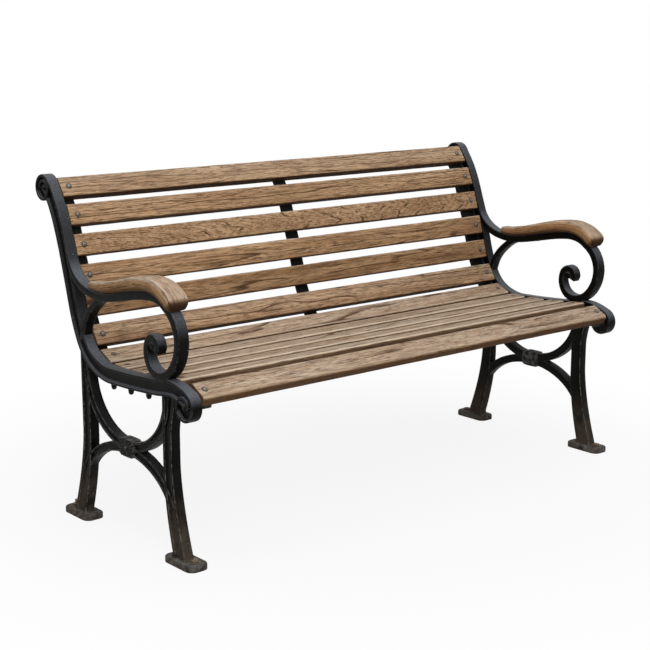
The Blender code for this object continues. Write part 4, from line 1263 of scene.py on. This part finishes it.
    def build(self, finishes: Finishes) -> None:
        """Model the casting once and set it at both ends."""
        line = self.outer_line()
        seats = self.profile.seats()
        parts = [self.rail(), self.flange()]
        parts += self.scroll(line[0], -self.profile.way(seats[0][1]), -1.0, *self.top_scroll[1:])
        forward = self.profile.way(seats[-1][1])
        parts += self.scroll(line[-1], forward, 1.0, *self.front_scroll[1:], backed=True)
        parts += [self.pip(place.x) for place, _ in seats[7:10]]
        parts += self.arm()
        parts += [self.leg(-1), self.leg(1)]
        arcs, meeting = self.arcs()
        parts += [*arcs, self.rosette(meeting), self.foot(-1), self.foot(1)]
        right = join(parts, "casting_right")
        mark_corners(right)
        left = opposite(right, "casting_left")
        hand_over(right, finishes.iron, ["end_frame_right"], "casting_right")
        hand_over(left, finishes.iron, ["end_frame_left"], "casting_left")


@dataclass(frozen=True)
class Cut:
    """Where a board was sawn from the log: its shift along, the heart beside and below it, and its slope."""

    along: float
    beside: float
    below: float
    slope: float = 0.0

    def place(self, point: Vector) -> Vector:
        """Place in the log of a point of the board."""
        return point + Vector((self.along, self.beside, self.below + self.slope * point.x))


def mark(piece: Piece, grain: Sequence[Vector], tone: float, edges: Sequence[float]) -> None:
    """Write the grain's place, the tone and the state of the edges into a piece of timber.

    Args:
        piece: The timber.
        grain: Place of each point in the log: along, beside and below.
        tone: How far it has bleached.
        edges: State of each point, from -1 for a painted highlight on a worn edge to 1 for painted shade on
            an edge.
    """
    place = piece.data.attributes.new("grain", "FLOAT_VECTOR", "POINT")
    place.data.foreach_set("vector", [value for point in grain for value in point])
    bleach = piece.data.attributes.new("tone", "FLOAT", "POINT")
    bleach.data.foreach_set("value", [tone] * len(piece.data.vertices))
    state = piece.data.attributes.new("edge", "FLOAT", "POINT")
    state.data.foreach_set("value", edges)


@dataclass
class Slats:
    """The slats of back and seat, sawn and worn a little differently each."""

    profile: Profile
    edge_round: float = 0.0045
    seat_round: float = 0.0060
    nose_round: float = 0.010
    end_easing: float = 0.0012
    end_reach: float = 0.0035
    front_reach: float = -0.0015
    wear: float = 0.0006
    spans: int = 48
    tones: tuple[Tone, ...] = (
        Tone.MILD, Tone.BROWN, Tone.MILD, Tone.BROWN, Tone.DEEP, Tone.MILD,
        Tone.MILD, Tone.WORN, Tone.PALE, Tone.WORN, Tone.PALE, Tone.WORN,
    )
    # Per slat: how far the front edge is darkened as painted shade, and how far the upper front corner is
    # lightened as a painted highlight with some wear.
    soil_and_shade: tuple[float, ...] = (0.80, 0.80, 0.80, 0.80, 0.85, 0.85, 1.0, 0.95, 0.95, 0.95, 0.70, 0.0)
    rubbed_and_highlight: tuple[float, ...] = (0.0, 0.0, 0.0, 0.0, 0.0, 0.0, 0.6, 1.0, 1.0, 1.0, 1.0, 0.5)
    cuts: tuple[Cut, ...] = (
        Cut(0.3, 0.060, 0.090), Cut(2.9, -0.085, 0.060), Cut(5.0, 0.012, 0.010, 0.10), Cut(7.7, 0.050, 0.120),
        Cut(9.1, -0.030, 0.055), Cut(11.6, 0.100, 0.075), Cut(13.2, -0.055, 0.095), Cut(15.4, 0.090, 0.040),
        Cut(17.8, -0.110, 0.050), Cut(19.5, 0.070, 0.080), Cut(21.9, -0.080, 0.070), Cut(24.1, 0.020, 0.050),
    )

    def board(self, nose: float, reach: float) -> Piece:
        """One slat lying flat: outer face up at z = 0, its lower or front edge towards -Y.

        Args:
            nose: Rounding of the upper front edge.
            reach: How far each end passes its marked length.

        Returns:
            The new piece.
        """
        length = self.profile.slat_length + 2 * reach
        width = self.profile.slat_width
        thick = self.profile.slat_thickness
        fresh()
        bpy.ops.mesh.primitive_cube_add(size=1.0, location=(0.0, 0.0, -thick / 2))
        piece = bpy.context.object
        piece.scale = (length - 2 * self.end_easing, width, thick)
        settle(piece)

        def long_edge(edge: bmesh.types.BMEdge, front: bool) -> bool:
            """Whether an edge runs along the slat, at its upper front corner or at the other three."""
            here = middle(edge)
            lengthwise = abs(edge.verts[0].co.x - edge.verts[1].co.x) > 0.1
            return lengthwise and front == (here.y < -width / 2 + 1e-5 and here.z > -1e-5)

        with editing(piece, "EDGE"):
            pick("edges", lambda e: long_edge(e, False))
            bpy.ops.mesh.bevel(offset=self.edge_round, segments=4, affect="EDGES")
            pick("edges", lambda e: long_edge(e, True))
            bpy.ops.mesh.bevel(offset=nose, segments=6, affect="EDGES")
            for side in (-1.0, 1.0):
                pick("faces", lambda f: f.normal.x * side > 0.9)
                bpy.ops.mesh.inset(thickness=self.end_easing)
                bpy.ops.transform.translate(value=(self.end_easing * side, 0.0, 0.0))
            for k in range(1, self.spans):
                everything()
                place = (length * (k / self.spans - 0.5), 0.0, 0.0)
                bpy.ops.mesh.bisect(plane_co=place, plane_no=(1.0, 0.0, 0.0))
        return piece

    def worn(self, piece: Piece, seed: int) -> None:
        """Rub the edges down unevenly, always inward.

        Args:
            piece: The slat, lying flat.
            seed: Start of its own run of chance.
        """
        dice = random.Random(seed)
        phase = [dice.uniform(0.0, math.tau) for _ in range(3)]
        half = self.profile.slat_width / 2
        for vertex in piece.data.vertices:
            x, y, z = vertex.co
            slow = 0.5 + 0.5 * math.sin(x * 9.0 + phase[0]) * math.sin(x * 23.0 + phase[1 if y > 0 else 2])
            rub = self.wear * (0.6 * slow + 0.4 * dice.random()) * (abs(y) / half) ** 3
            vertex.co.y = y - math.copysign(rub, y)
            vertex.co.z = z - math.copysign(rub, z + self.profile.slat_thickness / 2)

    def edge_state(self, point: Vector, nose: float, soil_and_shade: float, rubbed_and_highlight: float) -> float:
        """State of a point of a slat that lies flat: painted highlight on the upper front corner, painted
        shade on the front edge.

        Args:
            point: The point.
            nose: Rounding of the upper front edge.
            soil_and_shade: How far the front edge is darkened, as painted shade.
            rubbed_and_highlight: How far its upper corner is lightened, as a painted highlight with some
                wear.

        Returns:
            From minus rubbed_and_highlight on the corner to soil_and_shade on the edge, 0 elsewhere.
        """
        ahead = nose - self.profile.slat_width / 2 - point.y
        below = -nose - point.z
        if ahead < 0.05 * nose or point.z < self.edge_round * 0.1 - self.profile.slat_thickness:
            return 0.0
        if below >= 0.0:
            return soil_and_shade
        angle = math.degrees(math.atan2(ahead, -below))
        if angle < 50.0:
            return -rubbed_and_highlight * held((angle - 4.0) / 8.0)
        return soil_and_shade * held((angle - 58.0) / 24.0)

    def build(self, finishes: Finishes) -> None:
        """Model a back slat, a seat slat and the nosed front one, and set worn copies at their places."""
        rounds = {"back": self.edge_round, "seat": self.seat_round, "front": self.nose_round}
        reaches = {"back": self.end_reach, "seat": self.end_reach, "front": self.front_reach}
        boards = {key: self.board(nose, reaches[key]) for key, nose in rounds.items()}
        backs = len(self.profile.back_places)
        for number, (place, lean) in enumerate(self.profile.seats(), 1):
            kind = "back_slat" if number <= backs else "seat_slat"
            shape = "front" if number == len(self.tones) else "back" if number < backs else "seat"
            piece = copy_of(boards[shape], f"board_{number:02d}")
            self.worn(piece, number)
            cut = self.cuts[number - 1]
            points = [v.co.copy() for v in piece.data.vertices]
            state = (rounds[shape], self.soil_and_shade[number - 1], self.rubbed_and_highlight[number - 1])
            edges = [self.edge_state(p, *state) for p in points]
            mark(piece, [cut.place(p) for p in points], self.tones[number - 1].value, edges)
            with editing(piece):
                everything()
                turn(math.pi / 2 - lean, "X", (0.0, 0.0, 0.0))
                bpy.ops.transform.translate(value=(0.0, place.x, place.y))
            tidy_mesh(piece)
            node = f"{kind}_{number:02d}"
            hand_over(piece, finishes.timber, [node], f"board_{number:02d}")
        for spare in boards.values():
            bpy.data.objects.remove(spare)


@dataclass
class Armrests:
    """Curved timber rests on the arms, slim behind, broad and full at the front."""

    casting: EndFrame
    rear: float = 0.0860
    front: float = -0.035
    nose: float = 0.0165
    rear_width: float = 0.034
    width: float = 0.060
    rear_thickness: float = 0.0195
    waist_thickness: float = 0.0255
    waist: float = 0.060
    thickness: float = 0.0340
    round_plan: Point = (0.005, 0.016)
    round_top: Point = (0.007, 0.0270)
    plan_floors: Point = (0.78, 0.50)
    top_floors: Point = (0.80, 0.14)
    tip: float = 0.20
    bedding: float = 0.0002
    cut: Cut = Cut(30.0, 0.020, 0.045)

    def outline(self) -> list[Point]:
        """Unit outline across a rest, -0.5 to 0.5 wide and 0 to 1 high, flat below and crowned above."""
        half = [
            (0.0, 0.0), (0.28, 0.0), (0.43, 0.01), (0.49, 0.12),
            (0.5, 0.42), (0.498, 0.76), (0.465, 0.93), (0.36, 0.985),
        ]
        return half + [(0.0, 1.0)] + [(-x, h) for x, h in reversed(half[1:])]

    def run(self) -> list[tuple[float, Vector, Vector]]:
        """Distance along the rest, point on the arm's upper face and way out of it, every few millimetres."""
        profile = self.casting.profile
        arm = self.casting.arm_face()
        foremost = min(range(len(arm)), key=lambda k: arm[k][0].x)
        rear_y = profile.rear_slat_y + self.rear
        front_y = profile.seat_front + self.front
        faces = [(point - side * self.bedding, side) for point, side, _ in arm[: foremost + 1]]
        fine = []
        for (p, a), (q, b) in zip(faces, faces[1:]):
            count = max(1, math.ceil((q - p).length / 0.003))
            fine += [(p.lerp(q, k / count), a.lerp(b, k / count).normalized()) for k in range(count)]
        fine = [(p, side) for p, side in fine if front_y <= p.x <= rear_y]
        way = Vector((-fine[-1][1].y, fine[-1][1].x))
        fine += [(fine[-1][0] + way * self.nose * k / 8, fine[-1][1]) for k in range(1, 9)]
        places = []
        distance = 0.0
        for k, (p, side) in enumerate(fine):
            distance += (p - fine[k - 1][0]).length if k else 0.0
            places.append((distance, p, side))
        return places

    @staticmethod
    def rounding(behind: float, ahead: float, ends: Point, floors: Point) -> float:
        """Share of the full size near a round end.

        Args:
            behind: Distance from the rear end.
            ahead: Distance to the front end.
            ends: Length of the rounding at the rear and at the front.
            floors: Share that is left at the rear end and at the front end.

        Returns:
            The share, 1 away from the ends.
        """
        share = 1.0
        for distance, length, floor in ((behind, ends[0], floors[0]), (ahead, ends[1], floors[1])):
            if distance < length:
                share *= floor + (1.0 - floor) * math.sqrt(max(0.0, 1.0 - (1.0 - distance / length) ** 2))
        return share

    def rings(self) -> list[tuple[float, list[Vector]]]:
        """Rings of points round the rest with their distance along it."""
        places = self.run()
        total = places[-1][0]
        found = []
        for distance, point, side in places:
            growth = []
            for reach in (self.waist, 0.62 * total):
                share = min(1.0, distance / reach)
                growth.append(share * share * (3.0 - 2.0 * share))
            width = self.rear_width + (self.width - self.rear_width) * growth[1]
            thick = self.rear_thickness + (self.waist_thickness - self.rear_thickness) * growth[0]
            thick += (self.thickness - self.waist_thickness) * growth[1]
            width *= self.rounding(distance, total - distance, self.round_plan, self.plan_floors)
            top = self.rounding(distance, total - distance, self.round_top, self.top_floors)
            low = self.tip * (1.0 - top) if 2 * distance > total else 0.0
            ring = []
            for x, h in self.outline():
                flat = point + side * thick * (low + h * top)
                ring.append(Vector((self.casting.rim_x + x * width, flat.x, flat.y)))
            found.append((distance, ring))
        return found

    def build(self, finishes: Finishes) -> None:
        """Draw the right rest out ring by ring, smooth it, and mirror it for the left."""
        rings = self.rings()
        count = len(rings[0][1])
        piece = flat_ring("rest", count)
        with editing(piece):
            everything()
            for _ in rings[1:]:
                extrude((0.0, 0.0, 0.01))
        grain = []
        for number, (distance, ring) in enumerate(rings):
            for k, point in enumerate(ring):
                piece.data.vertices[number * count + k].co = point
                x, h = self.outline()[k]
                grain.append(self.cut.place(Vector((distance, x * self.width, h * self.thickness))))
        mark(piece, grain, Tone.WORN.value, [0.0] * len(grain))
        smooth = piece.modifiers.new("smooth", "SUBSURF")
        smooth.levels = 1
        smooth.render_levels = 1
        apply_modifiers(piece)
        tidy_mesh(piece, 60.0)
        left = opposite(piece, "rest_left")
        for rest, side in ((piece, "right"), (left, "left")):
            hand_over(rest, finishes.arm_timber, [f"armrest_{side}"], f"rest_{side}")


@dataclass
class Strap:
    """Flat bar behind the middle of the slats."""

    profile: Profile
    x: float = -0.010
    width: float = 0.042
    thickness: float = 0.006
    drawn_in: float = 0.014

    def build(self, finishes: Finishes) -> None:
        """Draw the bar along the backs of the slats."""
        depth = self.profile.slat_thickness + self.profile.touch_gap + self.thickness / 2
        line = self.profile.bearing_line(depth, self.drawn_in, self.drawn_in)
        piece = swept("flat_bar", bar_outline(self.thickness, self.width, 0.0012, 2), line, self.x)
        hand_over(piece, finishes.iron, ["centre_strap"], "flat_bar")


@dataclass(frozen=True)
class Anchor:
    """How one foot is held down: radius of its washer and length of its stud, 0 where there is none."""

    where: str
    side: str
    washer: float
    stud: float
    stained: bool


@dataclass
class Fasteners:
    """Slat bolts with closed nuts, wood screws and anchor bolts."""

    casting: EndFrame
    strap: Strap
    bolt_inset: float = 0.020
    bolt_radius: float = 0.004
    head_radius: float = 0.0062
    head_height: float = 0.0038
    nut_radius: float = 0.0085
    nut_height: float = 0.0075
    cap_height: float = 0.0054
    ring_reach: float = 1.28
    screw_radius: float = 0.0022
    screw_head: float = 0.0055
    screw_head_height: float = 0.003
    screw_bite: float = 0.016
    arm_screw_head_height: float = 0.0010
    flush_head: Point = (0.0056, 0.0007)
    flush_slats: range = range(7, 12)
    arm_screws: Point = (-0.0515, 0.070)
    anchor_radius: float = 0.005
    anchor_height: float = 0.006
    washer_height: float = 0.0016
    stud_crown: float = 0.0028
    anchor_set: tuple[Anchor, ...] = (
        Anchor("front", "left", 0.0116, 0.0, False), Anchor("front", "right", 0.0120, 0.0, True),
        Anchor("rear", "left", 0.0, 0.009, False), Anchor("rear", "right", 0.0, 0.0, True),
    )

    @staticmethod
    def domed(name: str, radius: float, height: float, shank: float, length: float, sides: int = 24) -> Piece:
        """Round head with a crowned top over a straight shank, head resting at z = 0.

        Args:
            name: Name of the piece.
            radius: Radius of the head.
            height: Height of the head.
            shank: Radius of the shank.
            length: Length of the shank.
            sides: Spans round it.

        Returns:
            The new piece.
        """
        rim = height * 0.22
        piece = cylinder(name, sides, (radius, rim), (0.0, 0.0, rim / 2))
        with editing(piece):
            pick("faces", lambda f: f.normal.z > 0.9)
            last = 1.0
            angles = [math.pi / 2 * k / 5.6 for k in range(6)]
            for before, angle in zip(angles, angles[1:]):
                size = math.cos(angle)
                grown = (math.sin(angle) - math.sin(before)) / math.sin(angles[-1])
                extrude((0.0, 0.0, (height - rim) * grown))
                shrunk = (size / last, size / last, 1.0)
                bpy.ops.transform.resize(value=shrunk, center_override=(0.0, 0.0, 0.0))
                last = size
            pick("faces", lambda f: f.normal.z < -0.9)
            bpy.ops.mesh.inset(thickness=radius - shank)
            extrude((0.0, 0.0, -length))
        tidy_mesh(piece, 50.0)
        return piece

    @staticmethod
    def hexagon(name: str, radius: float, low: float, high: float) -> Piece:
        """Six-sided nut or head with its corners turned off."""
        piece = cylinder(name, 6, (radius, high - low), (0.0, 0.0, (low + high) / 2))
        with editing(piece, "EDGE"):
            pick("edges", lambda e: abs(e.verts[0].co.z - e.verts[1].co.z) < 1e-6)
            bpy.ops.mesh.bevel(offset=radius * 0.10, segments=2, affect="EDGES")
        tidy_mesh(piece, 30.0)
        return piece

    @staticmethod
    def collar(radius: float, low: float, high: float) -> Piece:
        """Thin eased ring under a head, used as a washer and as a dark ring of painted contact shade with
        some grime.
        """
        piece = cylinder("collar", 28, (radius, high - low), (0.0, 0.0, (low + high) / 2))
        with editing(piece):
            pick("faces", lambda f: f.normal.z > 0.9)
            bpy.ops.mesh.inset(thickness=(high - low) * 0.5)
            bpy.ops.transform.translate(value=(0.0, 0.0, (high - low) * 0.15))
        tidy_mesh(piece, 30.0)
        return piece

    @staticmethod
    def put(source: Piece, name: str, place: Vector, axis: Vector) -> Piece:
        """Copy of a fastener with its head at a place and its top along an axis square to X."""
        piece = copy_of(source, name)
        piece.matrix_world = Matrix.Translation(place) @ Matrix.Rotation(math.atan2(-axis.y, axis.z), 4, "X")
        settle(piece)
        return piece

    def seat_frames(self) -> list[tuple[Vector, Vector]]:
        """Middle of each slat's outer face and the way out of it, in space at x = 0."""
        found = []
        for place, lean in self.casting.profile.seats():
            side = side_of(self.casting.profile.way(lean))
            found.append((Vector((0.0, place.x, place.y)), Vector((0.0, side.x, side.y))))
        return found

    def slat_bolt(self, head: Point, metal: Material, grime_and_shade: Material) -> Piece:
        """Bolt with a closed nut below and a dark ring of painted contact shade, with some grime, round its
        head.

        Args:
            head: Radius and height of the head.
            metal: Finish of bolt and nut.
            grime_and_shade: Finish of the dark ring, painted contact shade with some grime.

        Returns:
            The new piece, its head at z = 0.
        """
        profile = self.casting.profile
        nut_top = -(profile.slat_thickness + 3 * profile.touch_gap + self.casting.flange_depth)
        parts = [self.domed("bolt", head[0], head[1], self.bolt_radius, -nut_top)]
        parts.append(self.hexagon("nut", self.nut_radius, nut_top - self.nut_height, nut_top))
        cap = self.domed("cap", self.nut_radius * 0.80, self.cap_height, self.bolt_radius, 0.002)
        with editing(cap):
            everything()
            turn(math.pi, "X", (0.0, 0.0, 0.0))
            bpy.ops.transform.translate(value=(0.0, 0.0, nut_top - self.nut_height))
        parts.append(cap)
        for part in parts:
            part.data.materials.append(metal)
        # Dark ring round the head: painted contact shade with some grime.
        ring = self.collar(head[0] * self.ring_reach, -2 * profile.touch_gap, 0.0004)
        ring.data.materials.append(grime_and_shade)
        return join([*parts, ring], "bolt")

    def slat_bolts(self, finishes: Finishes) -> None:
        """One bolt near each end of every slat, domed on the back and front slats and flush on the seat."""
        profile = self.casting.profile
        domed = self.slat_bolt((self.head_radius, self.head_height), finishes.zinc, finishes.grime_and_shade)
        flush = self.slat_bolt(self.flush_head, finishes.stained, finishes.grime_and_shade)
        reach = profile.slat_end - self.bolt_inset
        for side, x in (("left", -reach), ("right", reach)):
            for number, (place, axis) in enumerate(self.seat_frames(), 1):
                there = place + Vector((x, 0.0, 0.0)) + axis * profile.touch_gap
                source = flush if number in self.flush_slats else domed
                piece = self.put(source, f"bolt_{side}_{number:02d}", there, axis)
                node = f"slat_bolt_{side}_{number:02d}"
                hand_over(piece, finishes.zinc, [node], piece.name)
        for spare in (domed, flush):
            bpy.data.objects.remove(spare)

    def screws(self, finishes: Finishes) -> None:
        """Screws through the strap into the slats and through the arms into the rests."""
        profile = self.casting.profile
        length = self.strap.thickness + self.screw_bite
        source = self.domed("screw", self.screw_head, self.screw_head_height, self.screw_radius, length, 20)
        depth = profile.slat_thickness + 2 * profile.touch_gap + self.strap.thickness
        for number, (place, axis) in enumerate(self.seat_frames(), 1):
            if number == len(profile.back_places):
                continue
            there = place + Vector((self.strap.x, 0.0, 0.0)) - axis * depth
            piece = self.put(source, f"back_screw_{number:02d}", there, -axis)
            hand_over(piece, finishes.zinc, [f"strap_screw_{number:02d}"], piece.name)
        bpy.data.objects.remove(source)
        length = self.casting.arm_bar[0] + self.screw_bite
        height = self.arm_screw_head_height
        source = self.domed("screw", self.screw_head, height, self.screw_radius, length, 20)
        rear = profile.rear_slat_y + self.arm_screws[0]
        front = profile.seat_front + self.arm_screws[1]
        for where, y in (("rear", rear), ("front", front)):
            point, flat, deep = min(self.casting.arm_face()[:80], key=lambda station: abs(station[0].x - y))
            axis = Vector((0.0, flat.x, flat.y))
            for side, sign in (("left", -1.0), ("right", 1.0)):
                there = Vector((sign * self.casting.rim_x, point.x, point.y)) - axis * deep
                piece = self.put(source, f"rest_screw_{side}_{where}", there, -axis)
                node = f"armrest_screw_{side}_{where}"
                hand_over(piece, finishes.zinc, [node], piece.name)
        bpy.data.objects.remove(source)

    def anchor(self, kind: Anchor) -> Piece:
        """Hexagon bolt or nut for a foot, resting at z = 0.

        Args:
            kind: Which washer and stud it has.

        Returns:
            The new piece.
        """
        casting = self.casting
        lift = self.washer_height if kind.washer else 0.0
        parts = [self.hexagon("anchor", casting.anchor_head, lift * 0.9, self.anchor_height + lift)]
        low = casting.profile.touch_gap - casting.foot_thickness
        parts.append(self.hexagon("shank", self.anchor_radius, low, 0.001))
        if kind.washer:
            parts.append(self.collar(kind.washer, 0.0, lift))
        if kind.stud:
            core = self.anchor_radius * 0.9
            stud = self.domed("stud", self.anchor_radius, self.stud_crown, core, kind.stud)
            with editing(stud):
                everything()
                bpy.ops.transform.translate(value=(0.0, 0.0, self.anchor_height + kind.stud * 0.8))
            parts.append(stud)
        return join(parts, "anchor")

    def anchors(self, finishes: Finishes) -> None:
        """Weathered bolts through the toes of the feet, no two alike."""
        casting = self.casting
        for kind in self.anchor_set:
            source = self.anchor(kind)
            end = -1 if kind.where == "front" else 1
            sign = -1.0 if kind.side == "left" else 1.0
            height = casting.foot_thickness + casting.profile.touch_gap
            there = Vector((sign * casting.foot_x, casting.foot_places(end)[2], height))
            piece = self.put(source, f"anchor_{kind.side}_{kind.where}", there, Vector((0.0, 0.0, 1.0)))
            metal = finishes.stained if kind.stained else finishes.rusted
            hand_over(piece, metal, [f"anchor_bolt_{kind.side}_{kind.where}"], piece.name)
            bpy.data.objects.remove(source)

    def build(self, finishes: Finishes) -> None:
        """Make and set all fasteners."""
        self.slat_bolts(finishes)
        self.screws(finishes)
        self.anchors(finishes)


@dataclass
class Studio:
    """Pale floor, soft light and the camera."""

    camera_place: tuple[float, float, float] = (-2.5377, -2.9334, 1.2658)
    camera_turn: tuple[float, float, float] = (77.922, 0.0, -40.065)
    lens: float = 79.36
    surroundings: float = 0.30

    def floor(self) -> None:
        """Wide pale floor that shows white, with a soft shadow round the feet."""
        fresh()
        place = (0.0, 0.0, -0.0005)
        bpy.ops.mesh.primitive_grid_add(x_subdivisions=8, y_subdivisions=8, size=40.0, location=place)
        piece = bpy.context.object
        piece.name = "studio_floor"
        settle(piece)
        tree = Tree("studio_floor")
        tree.shader.inputs["Base Color"].default_value = (0.55, 0.55, 0.55, 1.0)
        tree.shader.inputs["Roughness"].default_value = 0.9
        path = tree.add("LightPath").outputs
        seen = tree.maths("MAXIMUM", path["Is Camera Ray"], path["Is Glossy Ray"])
        seen = tree.maths("MAXIMUM", seen, path["Is Transmission Ray"])
        place = tree.add("TexCoord").outputs["Object"]
        away = tree.add("VectorMath", {"operation": "LENGTH"}, {0: place}).outputs["Value"]
        share = tree.times(seen, tree.span(away, 0.5, 1.6, 0.88, 1.0))
        white = tree.add("Emission", {}, {"Color": (1.0, 1.0, 1.0, 1.0), "Strength": 1.0})
        shaders = {0: share, 1: tree.shader.outputs["BSDF"], 2: white.outputs["Emission"]}
        mixed = tree.add("MixShader", {}, shaders)
        tree.links.new(mixed.outputs["Shader"], tree.nodes["Material Output"].inputs["Surface"])
        piece.data.materials.append(tree.material)

    def world(self) -> None:
        """Even pale surroundings, white where the camera or a reflection sees them."""
        world = bpy.data.worlds.new("studio")
        world.use_nodes = True
        bpy.context.scene.world = world
        nodes = world.node_tree.nodes
        links = world.node_tree.links
        background = nodes["Background"]
        background.inputs["Color"].default_value = (1.0, 1.0, 1.0, 1.0)
        path = nodes.new("ShaderNodeLightPath").outputs
        seen = path["Is Camera Ray"]
        for ray in ("Is Glossy Ray", "Is Transmission Ray"):
            either = nodes.new("ShaderNodeMath")
            either.operation = "MAXIMUM"
            links.new(seen, either.inputs[0])
            links.new(path[ray], either.inputs[1])
            seen = either.outputs["Value"]
        strength = nodes.new("ShaderNodeMapRange")
        strength.inputs["To Min"].default_value = self.surroundings
        strength.inputs["To Max"].default_value = 1.0
        links.new(seen, strength.inputs["Value"])
        links.new(strength.outputs["Result"], background.inputs["Strength"])

    @staticmethod
    def lamp(name: str, place: Sequence[float], target: Sequence[float], size: float, power: float) -> None:
        """Soft square lamp that looks at a target."""
        fresh()
        bpy.ops.object.light_add(type="AREA", location=place)
        lamp = bpy.context.object
        lamp.name = name
        lamp.data.size = size
        lamp.data.energy = power
        lamp.rotation_euler = (Vector(target) - Vector(place)).to_track_quat("-Z", "Y").to_euler()

    def camera(self) -> None:
        """Camera at the reference view."""
        fresh()
        heading = [math.radians(angle) for angle in self.camera_turn]
        bpy.ops.object.camera_add(location=self.camera_place, rotation=heading)
        camera = bpy.context.object
        camera.data.lens = self.lens
        camera.data.sensor_width = 36.0
        bpy.context.scene.camera = camera

    def build(self) -> None:
        """Set up floor, surroundings, lamps, camera and plain colour."""
        self.floor()
        self.world()
        self.lamp("overhead", (-0.3, -0.8, 3.4), (0.0, 0.0, 0.4), 3.2, 92.0)
        self.lamp("key", (-2.0, -2.8, 2.0), (0.0, 0.0, 0.5), 1.8, 44.0)
        self.camera()
        bpy.context.scene.view_settings.view_transform = "Standard"


def main() -> None:
    """Build the bench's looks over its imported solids."""
    logging.basicConfig(level=logging.INFO, format="%(name)s %(message)s")
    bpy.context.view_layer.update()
    profile = Profile()
    finishes = Finishes()
    casting = EndFrame(profile)
    strap = Strap(profile)
    casting.build(finishes)
    Slats(profile).build(finishes)
    Armrests(casting).build(finishes)
    strap.build(finishes)
    Fasteners(casting, strap).build(finishes)
    Studio().build()
    fresh()


if __name__ == "__main__":
    main()
